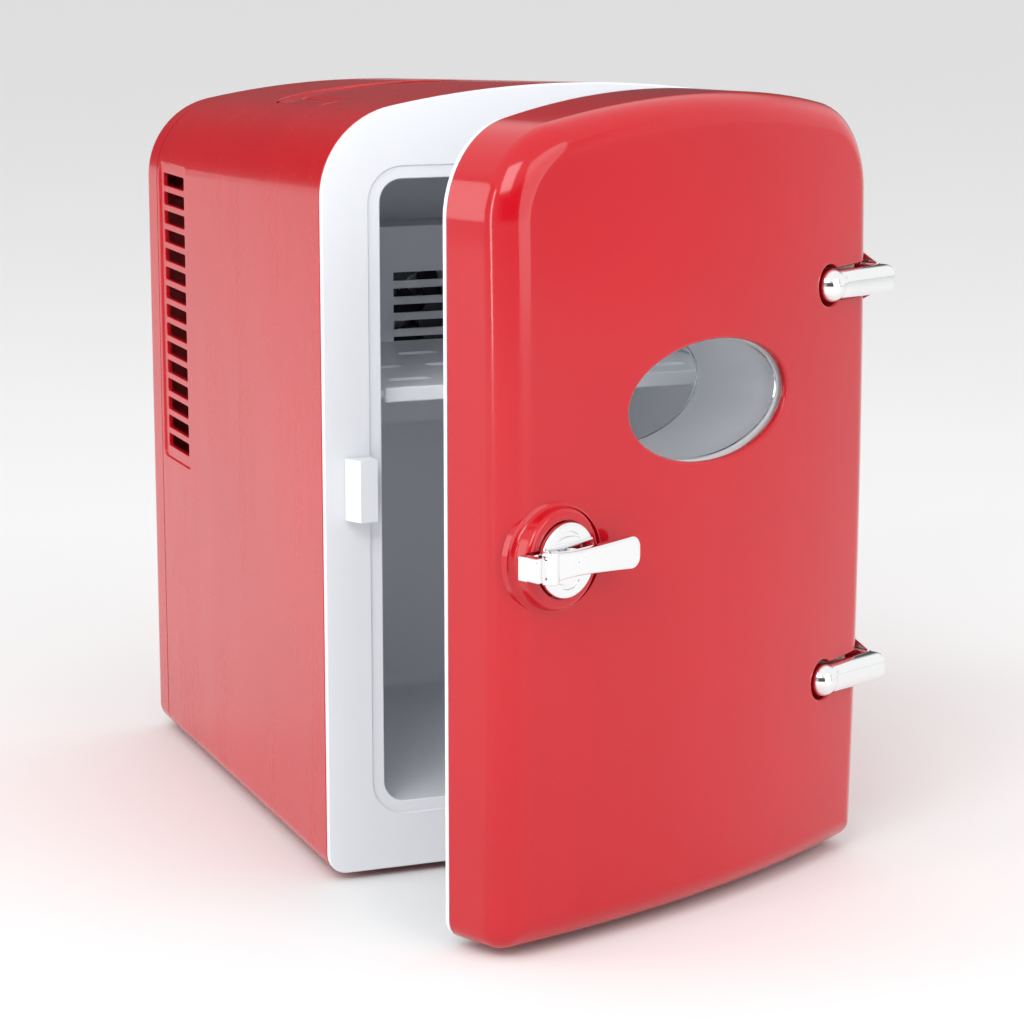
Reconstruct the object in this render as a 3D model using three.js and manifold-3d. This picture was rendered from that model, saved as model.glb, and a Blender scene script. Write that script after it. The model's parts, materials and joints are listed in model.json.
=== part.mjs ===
// A countertop mini fridge with thermoelectric cooling, built piece by piece.
//
// Millimetres, +Z up. While the pieces are made, the origin is on the floor below the middle of the
// cabinet's front face: X runs to the right, Y to the back. The whole model is then moved so that its
// origin is under the middle of its bounding box. The door stands open at REST_ANGLE.

import * as THREE from "three";
import { mergeVertices } from "three/addons/utils/BufferGeometryUtils.js";
import Module from "manifold-3d";

const wasm = await Module();
wasm.setup();

// ---------------------------------------------------------------- driving dimensions

// cabinet outline, seen from the front
const WIDTH = 188;
const HEIGHT = 280; // from the cabinet's underside to the top of its crown
const CORNER = 32; // radius of the upper corners
const CROWN = 358; // radius of the arched top
const BASE_CORNER = 7; // radius of the lower corners
const FOOT_RISE = 3; // the feet lift the cabinet this far off the floor

// cabinet, front to back
const DEPTH = 236;
const TOP_FALL = 11; // how much lower the top is at the back
const WALL = 2.4; // moulded walls
const FRAME_THICKNESS = 2.6;
const REAR_COVER_DEPTH = 20;
const REAR_ROUND = 8; // rounding of the rear cover's back edge

// chamber
const OPENING_WIDTH = 145;
const OPENING_SILL = 24.7; // height of the opening's lower edge over the cabinet's underside
const OPENING_HEIGHT = 223.6;
const OPENING_CORNER = 8;
const BORDER = 4.5; // width of the sunk border round the opening
const BORDER_SINK = 0.6;
const LINER_WALL = 1.6;
const CHAMBER_DEPTH = 158;
const INSULATION_DEPTH = 172;

// shelf
const SHELF_TOP = 172.7; // over the cabinet's underside
const SHELF_THICKNESS = 2.6;
const SHELF_LIP_HEIGHT = 5.3;
const SHELF_DEPTH = 118;
const SHELF_SETBACK = 9; // from the cabinet's front face to the shelf's lip
const RAIL_WIDTH = 3.4;
const RAIL_THICKNESS = 2.4;

// side vents
const VENT_COUNT = 15;
const VENT_PITCH = 7.65;
const VENT_HEIGHT = 5;
const VENT_LENGTH = 30;
const VENT_MIDDLE_Y = 193;
const VENT_TOP = 234.6; // upper edge of the highest slot, over the cabinet's underside
const VENT_MARGIN = 4.6; // sunk panel round the slots
const VENT_SINK = 0.7;

// thermoelectric cooler
const COOLER_HEIGHT = 178; // height of the cooler's middle over the cabinet's underside
const MODULE_SIZE = 40;
const MODULE_THICKNESS = 3.8;
const COLD_SINK_SIZE = 62;
const COLD_FIN_DEPTH = 8;
const HOT_SINK_WIDTH = 92;
const HOT_SINK_HEIGHT = 100;
const HOT_SINK_BASE = 5;
const HOT_FIN_DEPTH = 15;
const FIN_THICKNESS = 1.4;
const EXHAUST_FAN_SIZE = 80;
const EXHAUST_FAN_DEPTH = 13;
const CHAMBER_FAN_SIZE = 50;
const CHAMBER_FAN_DEPTH = 10;
const GRILLE_SIZE = 78;
const FAN_BLADES = 7;

// rear panel fittings
const FITTING_HEIGHT = 34; // middle of the sockets and the switch over the cabinet's underside
const MAINS_WIDTH = 22;
const MAINS_HEIGHT = 13;
const DC_RADIUS = 6.5;
const SWITCH_WIDTH = 20;
const SWITCH_HEIGHT = 12;
const FITTING_SPACING = 42;
const SOCKET_DEPTH = 17;

// carrying handle, sunk flush in the top
const HANDLE_SPAN = 140; // over both legs
const HANDLE_LEG = 8;
const HANDLE_BAR = 25;
const HANDLE_PIVOT_Y = 73.4;
const HANDLE_BACK_Y = 147;
const HANDLE_CORNER = 26;
const HANDLE_THICKNESS = 6;
const HANDLE_GAP = 0.7;
const LEG_GAP = 2; // the wider gap along the inner side of each leg
const LEG_END_ROOM = 1.4; // in front of the legs, where they turn up
const FINGER_WIDTH = 48;
const FINGER_LENGTH = 12;
const HANDLE_PIN_RADIUS = 1.6;

// door, in its closed place
const REST_ANGLE = 24; // how far the door stands open
const DOOR_GAP = 0.8; // between the cabinet's front face and the closed door
const DOOR_EDGE = 28; // thickness of the door at its sides, the gap included
const DOOR_BOW = 9.6; // how much further the middle stands out, across the width
const DOOR_BOW_UPRIGHT = 2.2; // and over the height
const DOOR_ROUND = 10; // rounding of the front edge
const LINER_PLATE = 2.2;
const LINER_RIM = 3; // the rim round the door liner
const GASKET_DEPTH = 2.6;
const PLUG_DEPTH = 5; // how far the liner's plug reaches into the chamber
const PLUG_CLEARANCE = 4.5; // between the plug and the opening, all round
const GASKET_LAP = 1.9; // how far the gasket laps over the edge of the opening

// window
const WINDOW_WIDTH = 80;
const WINDOW_HEIGHT = 41.2;
const WINDOW_X = -4;
const WINDOW_Z = 177.6; // over the cabinet's underside
const PANE_THICKNESS = 2;
const SLEEVE_WALL = 2;

// latch
const LATCH_X = -75.4; // middle of the round plate
const LATCH_Z = 133.4; // over the cabinet's underside
const LATCH_PLATE_RADIUS = 12.6;
const LATCH_PLATE_THICKNESS = 3.4;
const COLLAR_RADIUS = 17;
const COLLAR_RISE = 5;
const LEVER_LENGTH = 42;
const LEVER_THICKNESS = 3;
const LEVER_PIN_RADIUS = 1.2;
const LEVER_HUB_RADIUS = 2.9;
const HOOK_THICKNESS = 2.4;
const HOOK_HEIGHT = 5;
const HOOK_ROOM = 9; // for the hook's travel inside the door
const KEEPER_WIDTH = 9.6;
const KEEPER_HEIGHT = 22;
const KEEPER_REACH = 8;
const KEEPER_EDGE = 7.4; // from the cabinet's left side to the keeper
const KEEPER_LOW = 129.6; // over the cabinet's underside

// hinges
const HINGE_HEIGHTS = [67, 210]; // over the cabinet's underside
const HINGE_OFFSET_X = 4; // from the cabinet's side out to the pin
const HINGE_OFFSET_Y = 5; // from the cabinet's front face forward to the pin
const HINGE_PIN_RADIUS = 1.7;
const KNUCKLE_RADIUS = 3.6;
const KNUCKLE_HEIGHT = 8; // the door's knuckle
const HINGE_HEIGHT = 20; // over all three knuckles
const ARM_START_X = 65; // middle of the ball at the arm's free end
const ARM_RADIUS = 4.8;
const BALL_RADIUS = 6;
const LEAF_LENGTH = 24;
const LEAF_THICKNESS = 1.9;
const LEAF_SCREW_SPREAD = 5.5; // from the leaf's middle up and down to its screws

// clearances
const GAP = 0.3; // between pieces that rest against or in each other
const PLAY = 0.3; // between a screw or stud and its hole
const PIN_PLAY = 0.1; // between a pin and its bore

// fasteners and feet
const SCREW_RADIUS = 1.5;
const SCREW_HEAD_RADIUS = 3;
const SCREW_HEAD_HEIGHT = 1.6;
const BOSS_HEIGHTS = [38, 226]; // over the cabinet's underside, for the rear cover's screws
const BOSS_INSET = 14; // from the cabinet's side
const FOOT_RADIUS = 8;
const FOOT_INSET = 17;

// ---------------------------------------------------------------- derived places

const half = WIDTH / 2;
const floorLevel = FOOT_RISE;
const crownLevel = FOOT_RISE + HEIGHT;
const shellEnd = DEPTH - REAR_COVER_DEPTH;
const openingLow = floorLevel + OPENING_SILL;
const openingHigh = openingLow + OPENING_HEIGHT;
const openingHalf = OPENING_WIDTH / 2;
const coolerZ = floorLevel + COOLER_HEIGHT;
const latchZ = floorLevel + LATCH_Z;
const windowZ = floorLevel + WINDOW_Z;
const hingeX = half + HINGE_OFFSET_X;
const hingeY = -HINGE_OFFSET_Y;
const doorBack = -DOOR_GAP;
const gasketBack = doorBack + 0.4;
const linerBack = gasketBack - GASKET_DEPTH - GAP;
const linerFront = linerBack - LINER_PLATE;
const fittingZ = floorLevel + FITTING_HEIGHT;

// ---------------------------------------------------------------- helpers

function solid(geometry) {
  const bare = geometry.index ? geometry.toNonIndexed() : geometry.clone();
  for (const name of Object.keys(bare.attributes)) {
    if (name !== "position") bare.deleteAttribute(name);
  }
  const merged = mergeVertices(bare, 1e-4);
  return new wasm.Manifold(
    new wasm.Mesh({
      numProp: 3,
      vertProperties: merged.attributes.position.array,
      triVerts: new Uint32Array(merged.index.array),
    }),
  );
}

function geometryOf(manifold) {
  const mesh = manifold.getMesh();
  const geometry = new THREE.BufferGeometry();
  geometry.setAttribute("position", new THREE.BufferAttribute(mesh.vertProperties, 3));
  geometry.setIndex(new THREE.BufferAttribute(mesh.triVerts, 1));
  return geometry;
}

const join = (...pieces) => geometryOf(pieces.map(solid).reduce((sum, piece) => sum.add(piece)));
const cut = (body, ...tools) =>
  geometryOf(tools.map(solid).reduce((rest, tool) => rest.subtract(tool), solid(body)));
const common = (one, other) => geometryOf(solid(one).intersect(solid(other)));

function box(x0, x1, y0, y1, z0, z1) {
  return new THREE.BoxGeometry(x1 - x0, y1 - y0, z1 - z0).translate(
    (x0 + x1) / 2,
    (y0 + y1) / 2,
    (z0 + z1) / 2,
  );
}

// A shape drawn in x and z, pulled out from y0 to y1.
function alongY(shape, y0, y1, curveSegments = 4) {
  const options = { depth: y1 - y0, bevelEnabled: false, curveSegments };
  return new THREE.ExtrudeGeometry(shape, options).rotateX(Math.PI / 2).translate(0, y1, 0);
}

// A shape drawn in y and z, pulled out from x0 to x1.
function alongX(shape, x0, x1, curveSegments = 4) {
  const options = { depth: x1 - x0, bevelEnabled: false, curveSegments };
  const turn = new THREE.Matrix4().makeBasis(
    new THREE.Vector3(0, 1, 0),
    new THREE.Vector3(0, 0, 1),
    new THREE.Vector3(1, 0, 0),
  );
  return new THREE.ExtrudeGeometry(shape, options).applyMatrix4(turn).translate(x0, 0, 0);
}

// A shape drawn in x and y, pulled up from z0 to z1.
function alongZ(shape, z0, z1, curveSegments = 4) {
  const options = { depth: z1 - z0, bevelEnabled: false, curveSegments };
  return new THREE.ExtrudeGeometry(shape, options).translate(0, 0, z0);
}

const rodY = (x, z, radius, y0, y1, sides = 12) =>
  new THREE.CylinderGeometry(radius, radius, y1 - y0, sides).translate(x, (y0 + y1) / 2, z);
const rodX = (y, z, radius, x0, x1, sides = 12) =>
  new THREE.CylinderGeometry(radius, radius, x1 - x0, sides)
    .rotateZ(Math.PI / 2)
    .translate((x0 + x1) / 2, y, z);
const rodZ = (x, y, radius, z0, z1, sides = 12) =>
  new THREE.CylinderGeometry(radius, radius, z1 - z0, sides)
    .rotateX(Math.PI / 2)
    .translate(x, y, (z0 + z1) / 2);

function polygon(...points) {
  return new THREE.Shape(points.map(([a, b]) => new THREE.Vector2(a, b)));
}

function roundedRectangle(a0, a1, b0, b1, radius) {
  const shape = new THREE.Shape();
  shape.absarc(a1 - radius, b0 + radius, radius, -Math.PI / 2, 0);
  shape.absarc(a1 - radius, b1 - radius, radius, 0, Math.PI / 2);
  shape.absarc(a0 + radius, b1 - radius, radius, Math.PI / 2, Math.PI);
  shape.absarc(a0 + radius, b0 + radius, radius, Math.PI, 1.5 * Math.PI);
  return shape;
}

function ellipse(x, z, halfWidth, halfHeight) {
  const shape = new THREE.Shape();
  shape.absellipse(x, z, halfWidth, halfHeight, 0, 2 * Math.PI, false, 0);
  return shape;
}

function arc(x, z, radius, from, to, steps) {
  return Array.from({ length: steps }, (_, i) => {
    const angle = from + ((to - from) * i) / steps;
    return [x + radius * Math.cos(angle), z + radius * Math.sin(angle)];
  });
}

// The outline of cabinet and door, counter-clockwise from the front, as points of x and z.
function outline(inset, fall = 0) {
  const crownZ = crownLevel - fall - CROWN;
  const cornerX = half - CORNER;
  const cornerZ = crownZ + Math.sqrt((CROWN - CORNER) ** 2 - cornerX ** 2);
  const meet = Math.atan2(cornerZ - crownZ, cornerX);
  const base = Math.max(BASE_CORNER - inset, 1);
  const baseX = half - inset - base;
  const baseZ = floorLevel + inset + base;
  return [
    ...arc(-baseX, baseZ, base, Math.PI, 1.5 * Math.PI, 3),
    [-baseX, baseZ - base],
    ...arc(baseX, baseZ, base, 1.5 * Math.PI, 2 * Math.PI, 3),
    [baseX + base, baseZ],
    ...arc(cornerX, cornerZ, CORNER - inset, 0, meet, 6),
    ...arc(0, crownZ, CROWN - inset, meet, Math.PI - meet, 6),
    ...arc(-cornerX, cornerZ, CORNER - inset, Math.PI - meet, Math.PI, 6),
    [-cornerX - CORNER + inset, cornerZ],
  ];
}

// A closed skin over rings with equal numbers of points, from the back ring to the front one.
function loft(rings, backPoint, frontPoint) {
  const count = rings[0].length;
  const points = [...rings.flat(), backPoint, frontPoint];
  const back = points.length - 2;
  const front = points.length - 1;
  const lastRing = (rings.length - 1) * count;
  const index = [];
  for (let i = 0; i < count; i++) {
    const next = (i + 1) % count;
    for (let r = 0; r < rings.length - 1; r++) {
      const a = r * count;
      const b = a + count;
      index.push(a + i, a + next, b + next, a + i, b + next, b + i);
    }
    index.push(back, next, i, front, lastRing + i, lastRing + next);
  }
  const geometry = new THREE.BufferGeometry();
  geometry.setAttribute("position", new THREE.Float32BufferAttribute(points.flat(), 3));
  geometry.setIndex(index);
  return geometry;
}

const fallAt = (y) => (TOP_FALL * y) / DEPTH;
const ringAt = (inset, y, sink = 0) =>
  outline(inset, fallAt(y) + sink).map(([x, z]) => [x, y, z]);
const middleAt = (y) => [0, y, floorLevel + HEIGHT / 2];

// The cabinet's outline from y0 to y1, smaller all round by the inset; its top falls towards the back.
const cabinetBlock = (inset, y0, y1) =>
  loft([ringAt(inset, y1), ringAt(inset, y0)], middleAt(y1), middleAt(y0));

const openingShape = (grow) =>
  roundedRectangle(
    -openingHalf - grow,
    openingHalf + grow,
    openingLow - grow,
    openingHigh + grow,
    Math.max(OPENING_CORNER + grow, 1),
  );

const bothSides = (make) => [-1, 1].map(make);

// ---------------------------------------------------------------- cabinet shell and its handle well

const handleHalf = HANDLE_SPAN / 2;
const barFront = HANDLE_BACK_Y - HANDLE_BAR;
const handleEnd = 3.3; // radius of the rounded ends at the pivot
const legFront = HANDLE_PIVOT_Y - handleEnd;

// The handle from above: two legs and a bar, grown or shrunk all round.
function handlePlan(grow, innerGrow = grow, frontGrow = grow) {
  const outer = handleHalf + grow;
  const inner = handleHalf - HANDLE_LEG - innerGrow;
  const rear = HANDLE_BACK_Y + grow;
  const front = legFront - frontGrow;
  const bar = barFront - grow;
  const radius = HANDLE_CORNER + grow;
  const shape = new THREE.Shape();
  shape.moveTo(-outer, front);
  shape.lineTo(-inner, front);
  shape.lineTo(-inner, bar);
  shape.lineTo(inner, bar);
  shape.lineTo(inner, front);
  shape.lineTo(outer, front);
  shape.absarc(outer - radius, rear - radius, radius, 0, Math.PI / 2);
  shape.absarc(-outer + radius, rear - radius, radius, Math.PI / 2, Math.PI);
  return shape;
}

// A layer of the cabinet's top between two depths below its skin.
const topLayer = (from, to) => {
  const above = crownLevel + 2;
  const below = crownLevel - CORNER - TOP_FALL;
  const slab = box(-half, half, legFront - 12, HANDLE_BACK_Y + 12, below, above);
  return cut(common(slab, cabinetBlock(from, 20, 200)), cabinetBlock(to, 10, 210));
};

const wellPlan = (grow) => {
  const shape = handlePlan(grow, Math.max(grow, LEG_GAP), grow + LEG_END_ROOM);
  return alongZ(shape, 200, crownLevel + 5, 5);
};
const fingerPlan = (grow) =>
  box(
    -FINGER_WIDTH / 2 - grow,
    FINGER_WIDTH / 2 + grow,
    barFront - FINGER_LENGTH - grow,
    barFront + grow,
    200,
    crownLevel + 5,
  );
const wellDepth = HANDLE_THICKNESS + 3.4;
const wellOutside = HANDLE_GAP + WALL;

// The sunk panel and its slots, as tools that cut one side wall.
function ventTools(side) {
  const y0 = VENT_MIDDLE_Y - VENT_LENGTH / 2;
  const y1 = VENT_MIDDLE_Y + VENT_LENGTH / 2;
  const top = floorLevel + VENT_TOP;
  const bottom = top - (VENT_COUNT - 1) * VENT_PITCH - VENT_HEIGHT;
  const panel = roundedRectangle(
    y0 - VENT_MARGIN, y1 + VENT_MARGIN, bottom - VENT_MARGIN, top + VENT_MARGIN, VENT_MARGIN / 2,
  );
  const inner = side * (half - VENT_SINK);
  const outer = side * (half + 1);
  const slots = Array.from({ length: VENT_COUNT }, (_, i) => {
    const z = top - i * VENT_PITCH;
    return box(side * half - 2 * WALL, side * half + 2 * WALL, y0, y1, z - VENT_HEIGHT, z);
  });
  return [alongX(panel, Math.min(inner, outer), Math.max(inner, outer), 3), ...slots];
}

const bossPlaces = [-1, 1].flatMap((side) =>
  BOSS_HEIGHTS.map((height) => [side * (half - BOSS_INSET), floorLevel + height]),
);
const feetPlaces = [-1, 1].flatMap((side) =>
  [FOOT_INSET, shellEnd - FOOT_INSET].map((y) => [side * (half - FOOT_INSET - 4), y]),
);

// The crown's height over the floor at a place on the top.
const topAt = (x, y) => crownLevel - fallAt(y) - CROWN + Math.sqrt(CROWN ** 2 - x ** 2);
const handlePinZ = topAt(handleHalf, HANDLE_PIVOT_Y) - HANDLE_THICKNESS / 2 - 0.6;

function cabinetShell() {
  const start = FRAME_THICKNESS + GAP;
  const tube = cut(cabinetBlock(0, start, shellEnd), cabinetBlock(WALL, start - 1, shellEnd + 1));
  const wellBody = topLayer(GAP, wellDepth + WALL);
  const wellSpace = topLayer(-1, wellDepth);
  const bosses = bossPlaces.flatMap(([x, z]) => {
    const wall = Math.sign(x) * (half - 1);
    return [
      rodY(x, z, SCREW_RADIUS + 2.2, shellEnd - BOSS_LENGTH, shellEnd - GAP, 10),
      box(Math.min(x, wall), Math.max(x, wall), shellEnd - BOSS_LENGTH, shellEnd - GAP, z - 1, z + 1),
    ];
  });
  const bores = bossPlaces.map(([x, z]) =>
    rodY(x, z, SCREW_RADIUS + PLAY, shellEnd - BOSS_LENGTH + 2, shellEnd + 1, 10),
  );
  const footHoles = feetPlaces.map(([x, y]) =>
    rodZ(x, y, FOOT_STUD + PLAY, floorLevel - 1, floorLevel + WALL + 1, 12),
  );
  const pinHoles = handlePinSpans.map(([x0, x1]) =>
    rodX(HANDLE_PIVOT_Y, handlePinZ, HANDLE_PIN_RADIUS + PIN_PLAY, x0 - GAP, x1 + GAP, 12),
  );
  const leafHoles = hingeScrewPlaces.map(([y, z]) =>
    rodX(y, z, SCREW_RADIUS + PLAY, half - WALL - 1, half + 1, 12),
  );
  return cut(
    join(tube, common(wellPlan(wellOutside), wellBody), common(fingerPlan(WALL), wellBody), ...bosses),
    common(wellPlan(HANDLE_GAP), wellSpace),
    common(fingerPlan(0), wellSpace),
    ...bores,
    ...footHoles,
    ...pinHoles,
    ...leafHoles,
    ...ventTools(-1),
    ...ventTools(1),
  );
}

// The handle lies flush in the top and turns up on two pins.
function carryHandle() {
  const flush = common(alongZ(handlePlan(0), 200, crownLevel + 5, 6), topLayer(GAP, HANDLE_THICKNESS));
  const beyondPivot = box(-half, half, legFront - 20, HANDLE_PIVOT_Y, 200, crownLevel + 5);
  const ends = bothSides((side) => {
    const faces = [side * (handleHalf - HANDLE_LEG), side * handleHalf];
    return rodX(HANDLE_PIVOT_Y, handlePinZ, handleEnd, Math.min(...faces), Math.max(...faces), 14);
  });
  const lying = join(cut(flush, beyondPivot), ...ends);
  const bores = handlePinSpans.map(([x0, x1]) =>
    rodX(HANDLE_PIVOT_Y, handlePinZ, HANDLE_PIN_RADIUS + PIN_PLAY, x0 - 1, x1 + 1, 12),
  );
  return cut(lying, ...bores);
}

// ---------------------------------------------------------------- cabinet front, liner and insulation

function frontFrame() {
  const plate = cabinetBlock(0, 0, FRAME_THICKNESS);
  const keeperHoles = keeperScrewHeights.map((z) =>
    rodY(keeperX, z, SCREW_RADIUS + PLAY, -1, FRAME_THICKNESS + 1, 12),
  );
  return cut(
    plate,
    alongY(openingShape(0), -1, FRAME_THICKNESS + 1),
    alongY(openingShape(BORDER), -1, BORDER_SINK),
    ...keeperHoles,
  );
}

const shelfTop = floorLevel + SHELF_TOP;
const shelfLow = shelfTop - SHELF_THICKNESS;
const railGap = 0.4;

function innerLiner() {
  const back = CHAMBER_DEPTH;
  const tub = cut(
    alongY(openingShape(LINER_WALL), FRAME_THICKNESS + GAP, back + LINER_WALL),
    alongY(openingShape(0), 0, back),
  );
  const rails = bothSides((side) => {
    const wall = side * (openingHalf + LINER_WALL / 2);
    const edge = side * (openingHalf - RAIL_WIDTH);
    const x0 = Math.min(wall, edge);
    const x1 = Math.max(wall, edge);
    const end = SHELF_SETBACK + SHELF_DEPTH + 4;
    const low = box(x0, x1, RAIL_START, end, shelfLow - railGap - RAIL_THICKNESS, shelfLow - railGap);
    const high = box(x0, x1, RAIL_START, end, shelfTop + railGap, shelfTop + railGap + RAIL_THICKNESS);
    return join(low, high);
  });
  const throat = MODULE_SIZE / 2 + GAP;
  const window = box(-throat, throat, back - 1, back + 3, coolerZ - throat, coolerZ + throat);
  return cut(join(tub, ...rails), window);
}

function cabinetInsulation() {
  const start = FRAME_THICKNESS + GAP;
  const block = cabinetBlock(WALL + 2 * GAP, start, INSULATION_DEPTH);
  const clear = LINER_WALL + GAP;
  const throat = MODULE_SIZE / 2 + GAP;
  const wellRoom = topLayer(-1, wellDepth + WALL + 2 * GAP);
  const leafRoom = hingeScrewPlaces.map(([y, z]) =>
    rodX(y, z, SCREW_RADIUS + 1, half - SCREW_LENGTH - 2, half, 12),
  );
  return cut(
    block,
    alongY(openingShape(clear), 0, CHAMBER_DEPTH + clear),
    box(-throat, throat, CHAMBER_DEPTH, INSULATION_DEPTH + 1, coolerZ - throat, coolerZ + throat),
    common(wellPlan(wellOutside + 2 * GAP), wellRoom),
    common(fingerPlan(WALL + 2 * GAP), wellRoom),
    ...feetPlaces.map(([x, y]) => rodZ(x, y, FOOT_STUD + 2.4, floorLevel, floorLevel + WALL + 6, 12)),
    ...leafRoom,
  );
}

function shelf() {
  const width = openingHalf - GAP * 2;
  const lipHalf = openingHalf - RAIL_WIDTH - 1;
  const plateStart = SHELF_SETBACK + 2;
  const plateEnd = SHELF_SETBACK + SHELF_DEPTH;
  const lipLow = shelfTop - SHELF_LIP_HEIGHT + 1.2;
  const slots = Array.from({ length: 3 }, (_, row) =>
    Array.from({ length: 5 }, (_, i) => {
      const x = (i - 2) * 25;
      const y = plateStart + 20 + row * 30;
      return box(x - 8, x + 8, y, y + 6, shelfLow - 1, shelfTop + 1);
    }),
  ).flat();
  return cut(
    join(
      box(-width, width, plateStart, plateEnd, shelfLow, shelfTop),
      box(-lipHalf, lipHalf, SHELF_SETBACK, plateStart + 0.5, lipLow, lipLow + SHELF_LIP_HEIGHT),
    ),
    ...slots,
  );
}

// ---------------------------------------------------------------- cooler

// A plate with upright fins on one side; the fins reach from y0 towards y1.
function finnedSink(width, height, plateFrom, plateTo, finTo, fins) {
  const x0 = -width / 2;
  const pitch = (width - FIN_THICKNESS) / (fins - 1);
  const plate = [plateFrom, plateTo];
  const near = Math.min(...plate);
  const far = Math.max(...plate);
  const pieces = Array.from({ length: fins }, (_, i) => {
    const x = x0 + i * pitch;
    const reach = [finTo, (near + far) / 2];
    return box(x, x + FIN_THICKNESS, Math.min(...reach), Math.max(...reach),
      coolerZ - height / 2, coolerZ + height / 2);
  });
  return join(box(x0, -x0, near, far, coolerZ - height / 2, coolerZ + height / 2), ...pieces);
}

const coldPlateBack = CHAMBER_DEPTH - GAP;
const coldPlateFront = coldPlateBack - 3;
const chamberFanBack = coldPlateFront - COLD_FIN_DEPTH - 0.5;
const chamberFanFront = chamberFanBack - CHAMBER_FAN_DEPTH;
const grilleFront = chamberFanFront - 2.6;
const moduleFront = INSULATION_DEPTH + 2;
const hotPlateFront = moduleFront + MODULE_THICKNESS + GAP;
const hotPlateBack = hotPlateFront + HOT_SINK_BASE;
const exhaustFront = hotPlateBack + HOT_FIN_DEPTH + GAP;
const exhaustBack = exhaustFront + EXHAUST_FAN_DEPTH;

const coldSink = () =>
  finnedSink(COLD_SINK_SIZE, COLD_SINK_SIZE, coldPlateFront, coldPlateBack,
    coldPlateFront - COLD_FIN_DEPTH, 11);
const hotSink = () =>
  finnedSink(HOT_SINK_WIDTH, HOT_SINK_HEIGHT, hotPlateFront, hotPlateBack,
    hotPlateBack + HOT_FIN_DEPTH, 14);

const moduleHalf = MODULE_SIZE / 2 - GAP;
const moduleSlab = (y0, y1) =>
  box(-moduleHalf, moduleHalf, y0, y1, coolerZ - moduleHalf, coolerZ + moduleHalf);
const coldBlock = () => moduleSlab(CHAMBER_DEPTH, moduleFront - GAP);
const coolingModule = () => moduleSlab(moduleFront, moduleFront + MODULE_THICKNESS);

// A square fan housing with a round duct and a spider that carries the motor.
function fanFrame(size, y0, y1) {
  const shape = roundedRectangle(-size / 2, size / 2, coolerZ - size / 2, coolerZ + size / 2, size / 16);
  const duct = rodY(0, coolerZ, size * 0.46, y0 - 1, y1 + 1, 20);
  const arms = [0, 1].map((turn) =>
    new THREE.BoxGeometry(size * 0.96, 2, 2.4).rotateY(Math.PI / 4 + (turn * Math.PI) / 2)
      .translate(0, y1 - 1, coolerZ),
  );
  const mount = rodY(0, coolerZ, size * 0.17, y1 - 2, y1, 12);
  return join(cut(alongY(shape, y0, y1, 4), duct), mount, ...arms);
}

// A hub with pitched blades.
function fanRotor(size, y0, y1) {
  const middle = (y0 + y1) / 2;
  const hubRadius = size * 0.19;
  const tip = size * 0.435;
  const hub = rodY(0, 0, hubRadius, y0, y1, 12);
  const blades = Array.from({ length: FAN_BLADES }, (_, i) =>
    new THREE.BoxGeometry(tip - hubRadius + 2, 1, size * 0.2)
      .translate((tip + hubRadius - 2) / 2, 0, 0)
      .rotateX(0.5)
      .translate(0, middle, 0)
      .rotateY((i * 2 * Math.PI) / FAN_BLADES),
  );
  return common(join(hub, ...blades), rodY(0, 0, tip, y0 - 1, y1 + 1, 28)).translate(0, 0, coolerZ);
}

function chamberGrille() {
  const r = GRILLE_SIZE / 2;
  const back = CHAMBER_DEPTH - GAP;
  const pan = cut(
    alongY(roundedRectangle(-r, r, coolerZ - r, coolerZ + r, 6), grilleFront, back, 4),
    alongY(
      roundedRectangle(-r + 1.6, r - 1.6, coolerZ - r + 1.6, coolerZ + r - 1.6, 5),
      grilleFront + 1.6, back + 1, 4,
    ),
  );
  const slots = Array.from({ length: 7 }, (_, i) => {
    const z = coolerZ + (i - 3) * 6.4;
    return box(-21, 21, grilleFront - 1, grilleFront + 3, z - 1.7, z + 1.7);
  });
  return cut(pan, ...slots);
}

// ---------------------------------------------------------------- rear cover and its fittings

function rearSkin(inset, from, to) {
  const round = REAR_ROUND - inset;
  const steps = [0, 1, 2, 3].map((i) => (i / 3) * (Math.PI / 2));
  const rounded = steps.map((angle) =>
    ringAt(inset + round * (1 - Math.cos(angle)), to - round + round * Math.sin(angle)),
  );
  return loft([...rounded.reverse(), ringAt(inset, from)], middleAt(to), middleAt(from));
}

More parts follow.
